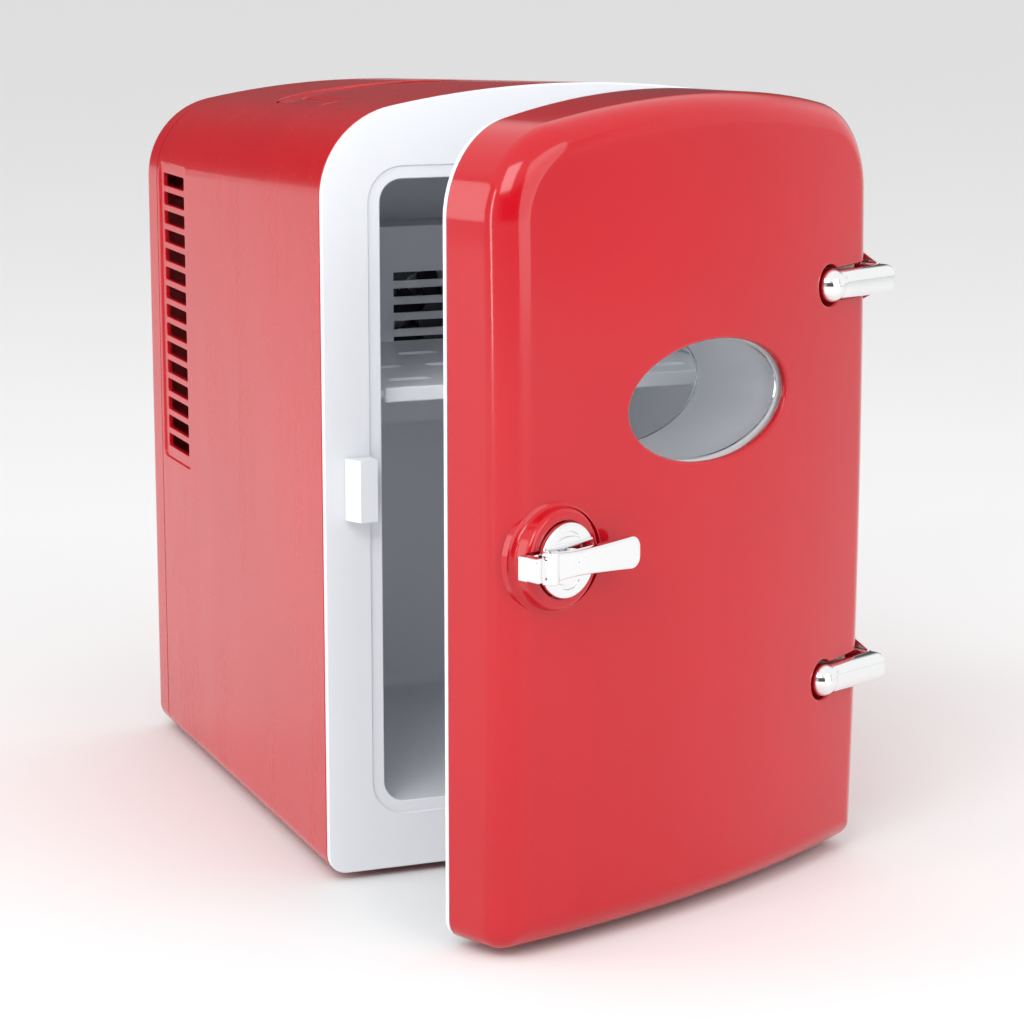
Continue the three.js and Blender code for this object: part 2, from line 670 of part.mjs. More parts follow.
function rearCover() {
  const pan = cut(rearSkin(0, shellEnd + GAP, DEPTH), rearSkin(WALL, shellEnd, DEPTH - WALL));
  const grilleSlots = Array.from({ length: 9 }, (_, i) => {
    const offset = (i - 4) * 7.6;
    const reach = Math.sqrt((EXHAUST_FAN_SIZE * 0.47) ** 2 - offset ** 2);
    return box(-reach, reach, DEPTH - WALL - 1, DEPTH + 1, coolerZ + offset - 2.2, coolerZ + offset + 2.2);
  });
  const screwHoles = bossPlaces.flatMap(([x, z]) => [
    rodY(x, z, SCREW_RADIUS + PLAY, shellEnd, DEPTH + 1, 10),
    rodY(x, z, SCREW_HEAD_RADIUS + PLAY, DEPTH - SCREW_HEAD_HEIGHT - GAP, DEPTH + 1, 12),
  ]);
  const columns = bossPlaces.map(([x, z]) =>
    rodY(x, z, SCREW_HEAD_RADIUS + 1.4, shellEnd + GAP, DEPTH - 1, 10),
  );
  const wells = [
    box(-FITTING_SPACING - MAINS_WIDTH / 2 - GAP, -FITTING_SPACING + MAINS_WIDTH / 2 + GAP,
      DEPTH - WALL - 1, DEPTH + 1, fittingZ - MAINS_HEIGHT / 2 - GAP, fittingZ + MAINS_HEIGHT / 2 + GAP),
    rodY(0, fittingZ, DC_RADIUS + GAP, DEPTH - WALL - 1, DEPTH + 1, 16),
    box(FITTING_SPACING - SWITCH_WIDTH / 2 - GAP, FITTING_SPACING + SWITCH_WIDTH / 2 + GAP,
      DEPTH - WALL - 1, DEPTH + 1, fittingZ - SWITCH_HEIGHT / 2 - GAP, fittingZ + SWITCH_HEIGHT / 2 + GAP),
  ];
  return cut(join(pan, ...columns), ...grilleSlots, ...screwHoles, ...wells);
}

const FLANGE = 2;
const flangeAround = (x, w, h) =>
  box(x - w - FLANGE, x + w + FLANGE, DEPTH + GAP, DEPTH + 1.5,
    fittingZ - h - FLANGE, fittingZ + h + FLANGE);

// An inlet with two pins in a waisted recess.
function mainsSocket() {
  const x = -FITTING_SPACING;
  const [w, h] = [MAINS_WIDTH / 2, MAINS_HEIGHT / 2];
  const body = box(x - w, x + w, DEPTH - SOCKET_DEPTH, DEPTH + 0.5, fittingZ - h, fittingZ + h);
  const recess = alongY(
    roundedRectangle(x - 7, x + 7, fittingZ - 3.7, fittingZ + 3.7, 3.4), DEPTH - 10, DEPTH + 3, 3,
  );
  const pins = bothSides((side) => rodY(x + side * 3.4, fittingZ, 1.1, DEPTH - 11, DEPTH - 2, 10));
  return join(cut(join(body, flangeAround(x, w, h)), recess), ...pins);
}

// A round low-voltage inlet with one middle pin.
function dcSocket() {
  const body = rodY(0, fittingZ, DC_RADIUS, DEPTH - SOCKET_DEPTH, DEPTH + 0.5, 16);
  const flange = rodY(0, fittingZ, DC_RADIUS + FLANGE, DEPTH + GAP, DEPTH + 1.5, 16);
  const recess = rodY(0, fittingZ, DC_RADIUS - 1.8, DEPTH - 10, DEPTH + 3, 12);
  return join(cut(join(body, flange), recess), rodY(0, fittingZ, 1.1, DEPTH - 11, DEPTH - 1.5, 10));
}

const rockerY = DEPTH - 2.5;

function switchHousing() {
  const x = FITTING_SPACING;
  const [w, h] = [SWITCH_WIDTH / 2, SWITCH_HEIGHT / 2];
  return cut(
    join(
      box(x - w, x + w, DEPTH - SOCKET_DEPTH, DEPTH + 0.5, fittingZ - h, fittingZ + h),
      flangeAround(x, w, h),
    ),
    box(x - w + 1.5, x + w - 1.5, DEPTH - 11, DEPTH + 3, fittingZ - h + 1.5, fittingZ + h - 1.5),
  );
}

// The rocker turns on a short axle along Z, so its two ends press in and out.
function switchRocker() {
  const w = SWITCH_WIDTH / 2 - 2.6;
  const top = polygon([-w, 2.2], [-w, -1.5], [0, -5], [w, -1.5], [w, 2.2], [0, 1.2]);
  return alongZ(top, fittingZ - SWITCH_HEIGHT / 2 + 2, fittingZ + SWITCH_HEIGHT / 2 - 2)
    .translate(FITTING_SPACING, rockerY, 0);
}

// The supply board stands upright behind the sockets.
function controlBoard() {
  const y = exhaustFront;
  const low = floorLevel + WALL + 6;
  const high = coolerZ - EXHAUST_FAN_SIZE / 2 - 14;
  const board = box(-60, 60, y, y + 1.6, low, high);
  const transformer = box(-44, -16, y - 16, y + 0.5, low + 10, low + 36);
  const coil = rodY(6, low + 22, 9, y - 9, y + 0.5, 18);
  const capacitors = [26, 38, 50].map((x) => rodY(x, low + 16, 4.6, y - 14, y + 0.5, 14));
  const regulator = box(20, 34, y - 4, y + 0.5, low + 34, low + 52);
  return join(board, transformer, coil, ...capacitors, regulator);
}

// ---------------------------------------------------------------- small hardware

const BOSS_LENGTH = 22;
const FOOT_STUD = 2.4;
const SCREW_LENGTH = 10;
const RAIL_START = 12;
const keeperX = -half + KEEPER_EDGE + KEEPER_WIDTH / 2;
const keeperLow = floorLevel + KEEPER_LOW;
const keeperScrewHeights = [keeperLow + 3.4, keeperLow + KEEPER_HEIGHT - 2.2];
const handlePinSpans = bothSides((side) => {
  const inner = side * (handleHalf - HANDLE_LEG - LEG_GAP);
  const outer = side * (handleHalf + HANDLE_GAP + WALL);
  return [Math.min(inner, outer), Math.max(inner, outer)];
});
const hingeScrewPlaces = HINGE_HEIGHTS.flatMap((height) =>
  [-1, 1].map((side) => [LEAF_LENGTH - 8, floorLevel + height + side * LEAF_SCREW_SPREAD]),
);

// A screw whose head looks along +Y.
const screwY = (x, z, headBack, length) =>
  join(
    rodY(x, z, SCREW_HEAD_RADIUS, headBack - SCREW_HEAD_HEIGHT, headBack, 12),
    rodY(x, z, SCREW_RADIUS, headBack - length, headBack - 0.5, 8),
  );

const foot = ([x, y]) =>
  join(
    rodZ(x, y, FOOT_RADIUS, 0, floorLevel - GAP, 16),
    rodZ(x, y, FOOT_STUD, 1, floorLevel + WALL + 2, 10),
    rodZ(x, y, FOOT_STUD + 1.2, floorLevel + WALL + GAP, floorLevel + WALL + 2, 10),
  );

const handlePin = ([x0, x1]) =>
  rodX(HANDLE_PIVOT_Y, handlePinZ, HANDLE_PIN_RADIUS, x0, x1, 12);

// The keeper is a block on the frame, with a chamfered outer side and a notch for the hook's nose.
const noseTop = -6.4;
function latchKeeper() {
  const x0 = keeperX - KEEPER_WIDTH / 2;
  const x1 = keeperX + KEEPER_WIDTH / 2;
  const plan = polygon([x0, -GAP], [x0, -2.5], [x0 + 3.2, -KEEPER_REACH], [x1, -KEEPER_REACH], [x1, -GAP]);
  const notch = box(x1 - 3, x1 + 1, noseTop, -1.2, latchZ - 3.5, latchZ + 9);
  const screws = keeperScrewHeights.map((z) => rodY(keeperX, z, SCREW_RADIUS, -1, FRAME_THICKNESS, 8));
  return join(cut(alongZ(plan, keeperLow, keeperLow + KEEPER_HEIGHT), notch), ...screws);
}

const fanScrewPlaces = [-1, 1].flatMap((side) =>
  [-1, 1].map((up) => [(side * EXHAUST_FAN_SIZE) / 2.28, coolerZ + (up * EXHAUST_FAN_SIZE) / 2.28]),
);

function exhaustFanFrame() {
  const bores = fanScrewPlaces.map(([x, z]) =>
    rodY(x, z, SCREW_RADIUS + PLAY, exhaustFront - 1, exhaustBack + 1, 12),
  );
  return cut(fanFrame(EXHAUST_FAN_SIZE, exhaustFront, exhaustBack), ...bores);
}

// ---------------------------------------------------------------- hinges

const pinBore = (z) =>
  rodZ(hingeX, hingeY, HINGE_PIN_RADIUS + PIN_PLAY, z - HINGE_HEIGHT, z + HINGE_HEIGHT, 12);
const knuckle = (z0, z1) => rodZ(hingeX, hingeY, KNUCKLE_RADIUS, z0, z1, 12);
const leafInside = half + GAP;
const leafOutside = leafInside + LEAF_THICKNESS;

// The leaf lies on the cabinet's side and carries the upper and lower knuckles.
function hingeLeaf(height) {
  const z = floorLevel + height;
  const reach = HINGE_HEIGHT / 2;
  const plate = roundedRectangle(0, LEAF_LENGTH, z - reach, z + reach, 4);
  const ends = bothSides((side) => {
    const near = z + side * (KNUCKLE_HEIGHT / 2 + GAP);
    const far = z + side * reach;
    const z0 = Math.min(near, far);
    const z1 = Math.max(near, far);
    return join(knuckle(z0, z1), box(leafInside, leafOutside, hingeY, 3, z0, z1));
  });
  const holes = hingeScrewPlaces.map(([y, screwZ]) =>
    rodX(y, screwZ, SCREW_RADIUS + PLAY, half - 1, leafOutside + 1, 8),
  );
  return cut(join(alongX(plate, leafInside, leafOutside, 4), ...ends), pinBore(z), ...holes);
}

function hingePin(height) {
  const z = floorLevel + height;
  const reach = HINGE_HEIGHT / 2 + GAP;
  const caps = bothSides((side) => {
    const near = z + side * reach;
    const far = near + side * 1.2;
    return rodZ(hingeX, hingeY, HINGE_PIN_RADIUS + 1, Math.min(near, far), Math.max(near, far), 12);
  });
  return join(rodZ(hingeX, hingeY, HINGE_PIN_RADIUS, z - reach - 0.5, z + reach + 0.5, 12), ...caps);
}

const hingeScrew = ([y, z]) =>
  join(
    rodX(y, z, SCREW_HEAD_RADIUS - 0.6, leafOutside + GAP, leafOutside + GAP + SCREW_HEAD_HEIGHT, 12),
    rodX(y, z, SCREW_RADIUS, half - SCREW_LENGTH, leafOutside + 1, 8),
  );

// ---------------------------------------------------------------- door shell

const doorMiddle = floorLevel + HEIGHT / 2;
const doorShellBack = doorBack - 1.8 - GAP;
const bowAt = (x, z) =>
  DOOR_BOW * (1 - (x / half) ** 2) +
  DOOR_BOW_UPRIGHT * (1 - ((z - doorMiddle) / (HEIGHT / 2)) ** 2);
const surfaceAt = (x, z) => -DOOR_EDGE - bowAt(x, z);

// The door's rounded and bowed body, smaller all round by the inset; its flat back is at backY.
function doorSkin(inset, backY) {
  const edge = DOOR_EDGE - inset;
  const round = DOOR_ROUND - inset;
  const ring = (ringInset, depth, scale = 1) =>
    outline(ringInset).map(([x, z]) => {
      const [sx, sz] = [x * scale, doorMiddle + (z - doorMiddle) * scale];
      return [sx, -depth - bowAt(sx, sz), sz];
    });
  const rounded = [0, 1 / 3, 2 / 3, 1].map((part) => {
    const angle = (part * Math.PI) / 2;
    return ring(inset + round * (1 - Math.cos(angle)), edge - round + round * Math.sin(angle));
  });
  const face = [0.66, 0.33].map((scale) => ring(inset + round, edge, scale));
  const back = outline(inset).map(([x, z]) => [x, backY, z]);
  return loft([back, ...rounded, ...face], [0, backY, doorMiddle],
    [0, -edge - bowAt(0, doorMiddle), doorMiddle]);
}

const armY = (height) => surfaceAt(ARM_START_X, floorLevel + height) - 2.2;

// The dimple for the arm's ball and the channel for its barrel, grown all round.
const armRoom = (height, grow) => {
  const z = floorLevel + height;
  const ball = new THREE.SphereGeometry(BALL_RADIUS + 1.6 + grow, 12, 8);
  return join(
    ball.translate(ARM_START_X, armY(height), z),
    rodX(armY(height), z, ARM_RADIUS + 0.9 + grow, ARM_START_X, half + 9, 12),
  );
};

const collarFront = surfaceAt(LATCH_X, latchZ) - COLLAR_RISE + 0.8;
const plateBack = collarFront + 1.2;
const plateFront = plateBack - LATCH_PLATE_THICKNESS;
const hookZ = latchZ + 1.2;
const hookLeft = LATCH_X;
const hookRight = hookLeft + HOOK_THICKNESS;
const hookTip = linerBack - GAP;

const hookSlot = (y0, y1) =>
  box(hookLeft - 1, hookRight + 3.6, y0, y1,
    hookZ - HOOK_HEIGHT / 2 - 0.4, hookZ + HOOK_HEIGHT / 2 + 0.4);

function doorShell() {
  const skin = doorSkin(0, doorShellBack);
  const hollow = cut(skin, doorSkin(WALL, doorShellBack + 1));
  const armBeds = HINGE_HEIGHTS.map((height) => common(armRoom(height, WALL), skin));
  const collarDepth = surfaceAt(LATCH_X, latchZ) + WALL + 2;
  const collar = rodY(LATCH_X, latchZ, COLLAR_RADIUS, collarFront, collarDepth, 28);
  const collarBlock = box(-half, half, -60, collarDepth - WALL, latchZ - 30, latchZ + 30);
  const bedded = common(collar, join(skin, collarBlock));
  const sight = alongY(ellipse(WINDOW_X, windowZ, WINDOW_WIDTH / 2, WINDOW_HEIGHT / 2), -60, 0, 14);
  return cut(
    join(hollow, bedded, ...armBeds),
    ...HINGE_HEIGHTS.map((height) => armRoom(height, 0)),
    rodY(LATCH_X, latchZ, LATCH_PLATE_RADIUS + GAP, collarFront - 5, plateBack + GAP, 28),
    box(pinX - 9, LATCH_X, collarFront - 5, plateBack + GAP,
      latchZ - LUG_HALF - GAP, latchZ + LUG_HALF + GAP),
    hookSlot(-50, -20),
    sight,
  );
}

// ---------------------------------------------------------------- door liner, gasket and insulation

const plugShape = (shrink) => openingShape(-PLUG_CLEARANCE - shrink);
const sleeveOutside = (grow) =>
  ellipse(WINDOW_X, windowZ,
    WINDOW_WIDTH / 2 + SLEEVE_WALL + grow, WINDOW_HEIGHT / 2 + SLEEVE_WALL + grow);
const keeperPocket = (y0, y1) =>
  box(-half + KEEPER_EDGE - 1.6, -openingHalf + PLUG_CLEARANCE - 0.3, y0, y1,
    keeperLow - 1.6, keeperLow + KEEPER_HEIGHT + 1.6);

// The plain outline from y0 to y1, without the fall of the cabinet's top.
const doorBlock = (inset, y0, y1) => {
  const ring = (y) => outline(inset).map(([x, z]) => [x, y, z]);
  return loft([ring(y1), ring(y0)], [0, y1, doorMiddle], [0, y0, doorMiddle]);
};

function doorLiner() {
  const rim = doorBlock(0, doorShellBack + GAP, doorBack);
  const plate = doorBlock(WALL + GAP, linerFront, doorBack - 0.5);
  const plug = alongY(plugShape(0), linerFront, PLUG_DEPTH, 5);
  return cut(
    join(cut(join(rim, plate), doorBlock(LINER_RIM, linerBack, 1)), plug),
    alongY(plugShape(LINER_PLATE), linerFront - 1, PLUG_DEPTH - LINER_PLATE, 5),
    alongY(sleeveOutside(GAP), -10, PLUG_DEPTH + 1, 14),
    keeperPocket(linerFront - 1, doorBack + 0.5),
  );
}

const doorGasket = () =>
  cut(
    alongY(openingShape(GASKET_LAP), linerBack + GAP, gasketBack),
    alongY(openingShape(GASKET_LAP - 4), linerBack - 1, 1),
  );

function doorInsulation() {
  const block = doorSkin(WALL + 2 * GAP, linerFront - GAP);
  const collarReach = COLLAR_RADIUS + 2 * GAP;
  const collarRoom = box(LATCH_X - collarReach, LATCH_X + collarReach, -60,
    surfaceAt(LATCH_X, latchZ) + WALL + 3, latchZ - collarReach, latchZ + collarReach);
  return cut(
    block,
    alongY(sleeveOutside(2 * GAP), -60, 0, 14),
    collarRoom,
    box(hookLeft - 2, hookRight + HOOK_ROOM, -60, 0, hookZ - 5.4, hookZ + 5.4),
    keeperPocket(linerFront - 5, 0),
    ...HINGE_HEIGHTS.map((height) => {
      const reach = BALL_RADIUS + 1.6 + WALL + 2 * GAP;
      const z = floorLevel + height;
      return box(ARM_START_X - reach, half, -60, armY(height) + reach, z - reach, z + reach);
    }),
  );
}

// ---------------------------------------------------------------- window

const sleeveFront =
  surfaceAt(WINDOW_X - WINDOW_WIDTH / 2 - SLEEVE_WALL, windowZ) + WALL + 3 * GAP;

const windowSleeve = () =>
  cut(
    alongY(sleeveOutside(0), sleeveFront, PLUG_DEPTH, 14),
    alongY(ellipse(WINDOW_X, windowZ, WINDOW_WIDTH / 2, WINDOW_HEIGHT / 2), -60, 10, 14),
  );

const windowPane = (front) =>
  alongY(ellipse(WINDOW_X, windowZ, WINDOW_WIDTH / 2 - GAP, WINDOW_HEIGHT / 2 - GAP),
    front, front + PANE_THICKNESS, 14);

// ---------------------------------------------------------------- latch

const LUG_HALF = 4.2;
const EAR_START = 3.2;
const EAR_END = 5.3;
const SPRING_WIRE = 0.28; // radius of the wire
const SPRING_RADIUS = 2;
const SPRING_TURNS = 2;
const LEVER_TILT = 3; // degrees; the free end stands a little further out
const pinX = LATCH_X - 12.2;
const pinY = plateFront - LEVER_HUB_RADIUS - 0.3;
const leverLeft = pinX - LEVER_HUB_RADIUS + 0.4;

const leverBore = (radius) => rodZ(pinX, pinY, radius, latchZ - 20, latchZ + 20, 12);

// A round plate with crescent grooves; a lug at its left end carries the lever's pin.
function latchPlate() {
  const disc = rodY(LATCH_X, latchZ, LATCH_PLATE_RADIUS, plateFront, plateBack, 24);
  const lug = box(pinX - 8, pinX - 3.4, pinY - 1.6, plateBack, latchZ - LUG_HALF, latchZ + LUG_HALF);
  const foot = box(pinX - 5, LATCH_X, plateFront, plateBack, latchZ - LUG_HALF, latchZ + LUG_HALF);
  const reach = EAR_START - GAP;
  const hub = rodZ(pinX, pinY, LEVER_HUB_RADIUS - 0.3, latchZ - reach, latchZ, 12);
  const web = box(pinX - 4, pinX, pinY - 1.2, plateFront + 1, latchZ - reach, latchZ);
  const crescents = bothSides((side) => {
    const middle = latchZ + side * 2.6;
    const ring = cut(
      rodY(LATCH_X, middle, 6.6, plateFront - 1, plateFront + 0.6, 16),
      rodY(LATCH_X, middle - side * 1.1, 6.6, plateFront - 2, plateFront + 2, 16),
    );
    return ring;
  });
  return cut(join(disc, lug, foot, hub, web), ...crescents, leverBore(LEVER_PIN_RADIUS + PIN_PLAY),
    hookSlot(plateFront - 1, plateBack + 1));
}

// The lever swings out on the pin; it is waisted over the plate and rounded at its free end.
function latchLever() {
  const right = leverLeft + LEVER_LENGTH;
  const shape = new THREE.Shape();
  shape.moveTo(leverLeft, latchZ - EAR_END);
  shape.quadraticCurveTo(LATCH_X - 2, latchZ - 4, LATCH_X + 6, latchZ - 4.2);
  shape.lineTo(right - 4, latchZ - 5.5);
  shape.absarc(right - 4, latchZ - 1.5, 4, -Math.PI / 2, 0);
  shape.absarc(right - 4, latchZ + 1.5, 4, 0, Math.PI / 2);
  shape.lineTo(LATCH_X + 6, latchZ + 4.2);
  shape.quadraticCurveTo(LATCH_X - 2, latchZ + 4, leverLeft, latchZ + EAR_END);
  const back = pinY + LEVER_THICKNESS / 2;
  const plate = alongY(shape, back - LEVER_THICKNESS, back, 5);
  const tilt = THREE.MathUtils.degToRad(-LEVER_TILT);
  plate.translate(-pinX, -pinY, 0).rotateZ(tilt).translate(pinX, pinY, 0);
  const ears = rodZ(pinX, pinY, LEVER_HUB_RADIUS, latchZ - EAR_END, latchZ + EAR_END, 12);
  const lugRoom = box(pinX - 6, pinX + LEVER_HUB_RADIUS + 0.6, pinY - 5, pinY + 5,
    latchZ - EAR_START, latchZ + EAR_START);
  return cut(join(plate, ears), lugRoom, leverBore(LEVER_PIN_RADIUS + PIN_PLAY));
}

const latchPin = () =>
  rodZ(pinX, pinY, LEVER_PIN_RADIUS, latchZ - EAR_END - 0.4, latchZ + EAR_END + 0.4, 10);

// The hook hangs from the lever's back, runs through the door and ends in a nose beside the keeper.
function latchHook() {
  const keeperSide = -half + KEEPER_EDGE + KEEPER_WIDTH + GAP;
  const lean = Math.tan(THREE.MathUtils.degToRad(LEVER_TILT)) * (hookLeft - pinX);
  const top = pinY + LEVER_THICKNESS / 2 + GAP + 0.2 - lean;
  const plan = polygon(
    [hookLeft, top], [hookRight, top], [hookRight, hookTip], [hookLeft, hookTip],
    [keeperSide, hookTip - 1.2], [keeperSide, hookTip - 2.2], [hookLeft, hookTip - 2.8],
  );
  return alongZ(plan, hookZ - HOOK_HEIGHT / 2, hookZ + HOOK_HEIGHT / 2);
}

// The coil round the pin turns the lever back.
function latchSpring() {
  const low = SPRING_WIRE + GAP;
  const high = EAR_START - SPRING_WIRE - GAP;
  class Helix extends THREE.Curve {
    getPoint(t, target = new THREE.Vector3()) {
      const angle = t * SPRING_TURNS * 2 * Math.PI;
      const [x, y] = [SPRING_RADIUS * Math.cos(angle), SPRING_RADIUS * Math.sin(angle)];
      return target.set(x, y, low + t * (high - low));
    }
  }
  const wire = new THREE.Shape().absarc(0, 0, SPRING_WIRE, 0, 2 * Math.PI);
  const steps = SPRING_TURNS * 10;
  const options = { steps, extrudePath: new Helix(), curveSegments: 3, bevelEnabled: false };
  return new THREE.ExtrudeGeometry(wire, options).translate(pinX, pinY, latchZ);
}

// ---------------------------------------------------------------- hinge arms on the door

// A ball and a barrel on the door's front, a strap that flares back along its side, and a knuckle.
function hingeArm(height) {
  const z = floorLevel + height;
  const y = armY(height);
  const inside = half + 0.5;
  const outside = half + 3.4;
  const strapEnd = hingeY - KNUCKLE_RADIUS - 1;
  const ball = new THREE.SphereGeometry(BALL_RADIUS, 14, 8).translate(ARM_START_X, y, z);
  const barrel = rodX(y, z, ARM_RADIUS, ARM_START_X, outside, 12);
  const bend = polygon(
    [half - 8, y], [outside, y - 3], [outside, strapEnd], [inside, strapEnd],
    [inside, -DOOR_EDGE + DOOR_ROUND - 2.5], [half - 1, -DOOR_EDGE + 1], [half - 5, -DOOR_EDGE - 4.2],
  );
  const reach = HINGE_HEIGHT / 2 - 0.4;
  const flare = polygon(
    [y + 2, z - ARM_RADIUS], [-23, z - reach], [strapEnd, z - reach],
    [strapEnd, z + reach], [-23, z + reach], [y + 2, z + ARM_RADIUS],
  );
  const knuckleHalf = KNUCKLE_HEIGHT / 2;
  return cut(
    join(
      ball,
      barrel,
      alongZ(bend, z - ARM_RADIUS + 0.1, z + ARM_RADIUS - 0.1),
      alongX(flare, inside, outside),
      knuckle(z - knuckleHalf, z + knuckleHalf),
      box(inside, hingeX, strapEnd - 1, hingeY, z - knuckleHalf, z + knuckleHalf),
    ),
    pinBore(z),
  );
}

// ---------------------------------------------------------------- the model

const finishes = {
  red: { color: 0xc8141f, roughness: 0.25, metalness: 0 },
  white: { color: 0xd9dde4, roughness: 0.4, metalness: 0 },
  liner: { color: 0xc9ced6, roughness: 0.45, metalness: 0 },
  foam: { color: 0xf3f3ef, roughness: 0.95, metalness: 0 },
  black: { color: 0x1c1c1e, roughness: 0.5, metalness: 0 },
  rubber: { color: 0x2a2a2c, roughness: 0.9, metalness: 0 },
  gasket: { color: 0xb9bec6, roughness: 0.8, metalness: 0 },
  chrome: { color: 0xe6e8ea, roughness: 0.08, metalness: 1 },
  steel: { color: 0xa9acb0, roughness: 0.35, metalness: 1 },
  aluminium: { color: 0xbfc3c8, roughness: 0.4, metalness: 1 },
  ceramic: { color: 0xefefe8, roughness: 0.6, metalness: 0 },
  board: { color: 0x1f5c3a, roughness: 0.6, metalness: 0 },
  clear: { color: 0xdfe6ea, roughness: 0.05, metalness: 0, transparent: true, opacity: 0.3 },
};

const cabinet = new THREE.Group();
const doorTurn = new THREE.Group();
const door = new THREE.Group();

function add(name, finish, geometry, group = cabinet) {
  const flat = geometry.index ? geometry.toNonIndexed() : geometry;
  flat.computeVertexNormals();
  const mesh = new THREE.Mesh(flat, new THREE.MeshStandardMaterial(finishes[finish]));
  mesh.name = name;
  group.add(mesh);
}

const addEach = (name, finish, places, make, group = cabinet) =>
  places.forEach((place, i) => add(`${name}_${i + 1}`, finish, make(place), group));

add("cabinet_shell", "red", cabinetShell());
add("front_frame", "white", frontFrame());
add("inner_liner", "liner", innerLiner());
add("cabinet_insulation", "foam", cabinetInsulation());
add("rear_cover", "red", rearCover());
add("carry_handle", "red", carryHandle());
addEach("handle_pin", "steel", handlePinSpans, handlePin);
add("shelf", "white", shelf());

add("cold_sink", "aluminium", coldSink());
add("cold_block", "aluminium", coldBlock());
add("cooling_module", "ceramic", coolingModule());
add("heat_sink", "aluminium", hotSink());
add("chamber_grille", "liner", chamberGrille());
add("chamber_fan_frame", "black", fanFrame(CHAMBER_FAN_SIZE, chamberFanFront, chamberFanBack));
add("chamber_fan_rotor", "black", fanRotor(CHAMBER_FAN_SIZE, chamberFanFront + 0.8, chamberFanBack - 2.6));
add("exhaust_fan_frame", "black", exhaustFanFrame());
add("exhaust_fan_rotor", "black", fanRotor(EXHAUST_FAN_SIZE, exhaustFront + 0.8, exhaustBack - 2.6));
addEach("fan_screw", "steel", fanScrewPlaces, ([x, z]) =>
  screwY(x, z, exhaustBack + 2, EXHAUST_FAN_DEPTH + 4));

add("control_board", "board", controlBoard());
add("mains_socket", "black", mainsSocket());
add("dc_socket", "black", dcSocket());
add("switch_housing", "black", switchHousing());
add("switch_rocker", "black", switchRocker());
addEach("cover_screw", "steel", bossPlaces, ([x, z]) => screwY(x, z, DEPTH - GAP, REAR_COVER_DEPTH + 12));
addEach("foot", "rubber", feetPlaces, foot);

add("latch_keeper", "white", latchKeeper());
addEach("hinge_leaf", "chrome", HINGE_HEIGHTS, hingeLeaf);
addEach("hinge_pin", "steel", HINGE_HEIGHTS, hingePin);
addEach("hinge_screw", "steel", hingeScrewPlaces, hingeScrew);

add("door_shell", "red", doorShell(), door);
add("door_liner", "white", doorLiner(), door);
add("door_gasket", "gasket", doorGasket(), door);
add("door_insulation", "foam", doorInsulation(), door);
add("window_sleeve", "white", windowSleeve(), door);
add("window_pane_outer", "clear", windowPane(sleeveFront + GAP), door);
add("window_pane_inner", "clear", windowPane(PLUG_DEPTH - PANE_THICKNESS - GAP), door);
add("latch_plate", "chrome", latchPlate(), door);
add("latch_lever", "chrome", latchLever(), door);
add("latch_hook", "white", latchHook(), door);
add("latch_pin", "steel", latchPin(), door);
add("latch_spring", "steel", latchSpring(), door);
addEach("hinge_arm", "chrome", HINGE_HEIGHTS, hingeArm, door);

door.position.set(-hingeX, -hingeY, 0);
doorTurn.position.set(hingeX, hingeY, 0);
doorTurn.rotation.z = THREE.MathUtils.degToRad(REST_ANGLE);
doorTurn.add(door);

const fridge = new THREE.Group();
fridge.name = "mini_fridge";
fridge.add(cabinet, doorTurn);
fridge.updateMatrixWorld(true);
const bounds = new THREE.Box3().setFromObject(fridge, true);
fridge.position.set(-(bounds.min.x + bounds.max.x) / 2, -(bounds.min.y + bounds.max.y) / 2, -bounds.min.z);

export default fridge;
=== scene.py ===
# %% [markdown]
# # A countertop mini fridge in glossy red
#
# This lesson dresses a finished mechanical model. The mechanics come in as a fixed frame: every
# node has its place and every body its hinge. Here each visible moulding is built again with
# fine curves and small rounded edges, and gets a material made of nodes.
#
# Lengths are written in millimetres, as on a drawing. The helper `place` turns them into metres.

# %% Load the frame
import json
import math

import bmesh
import bpy
from mathutils import Matrix, Vector

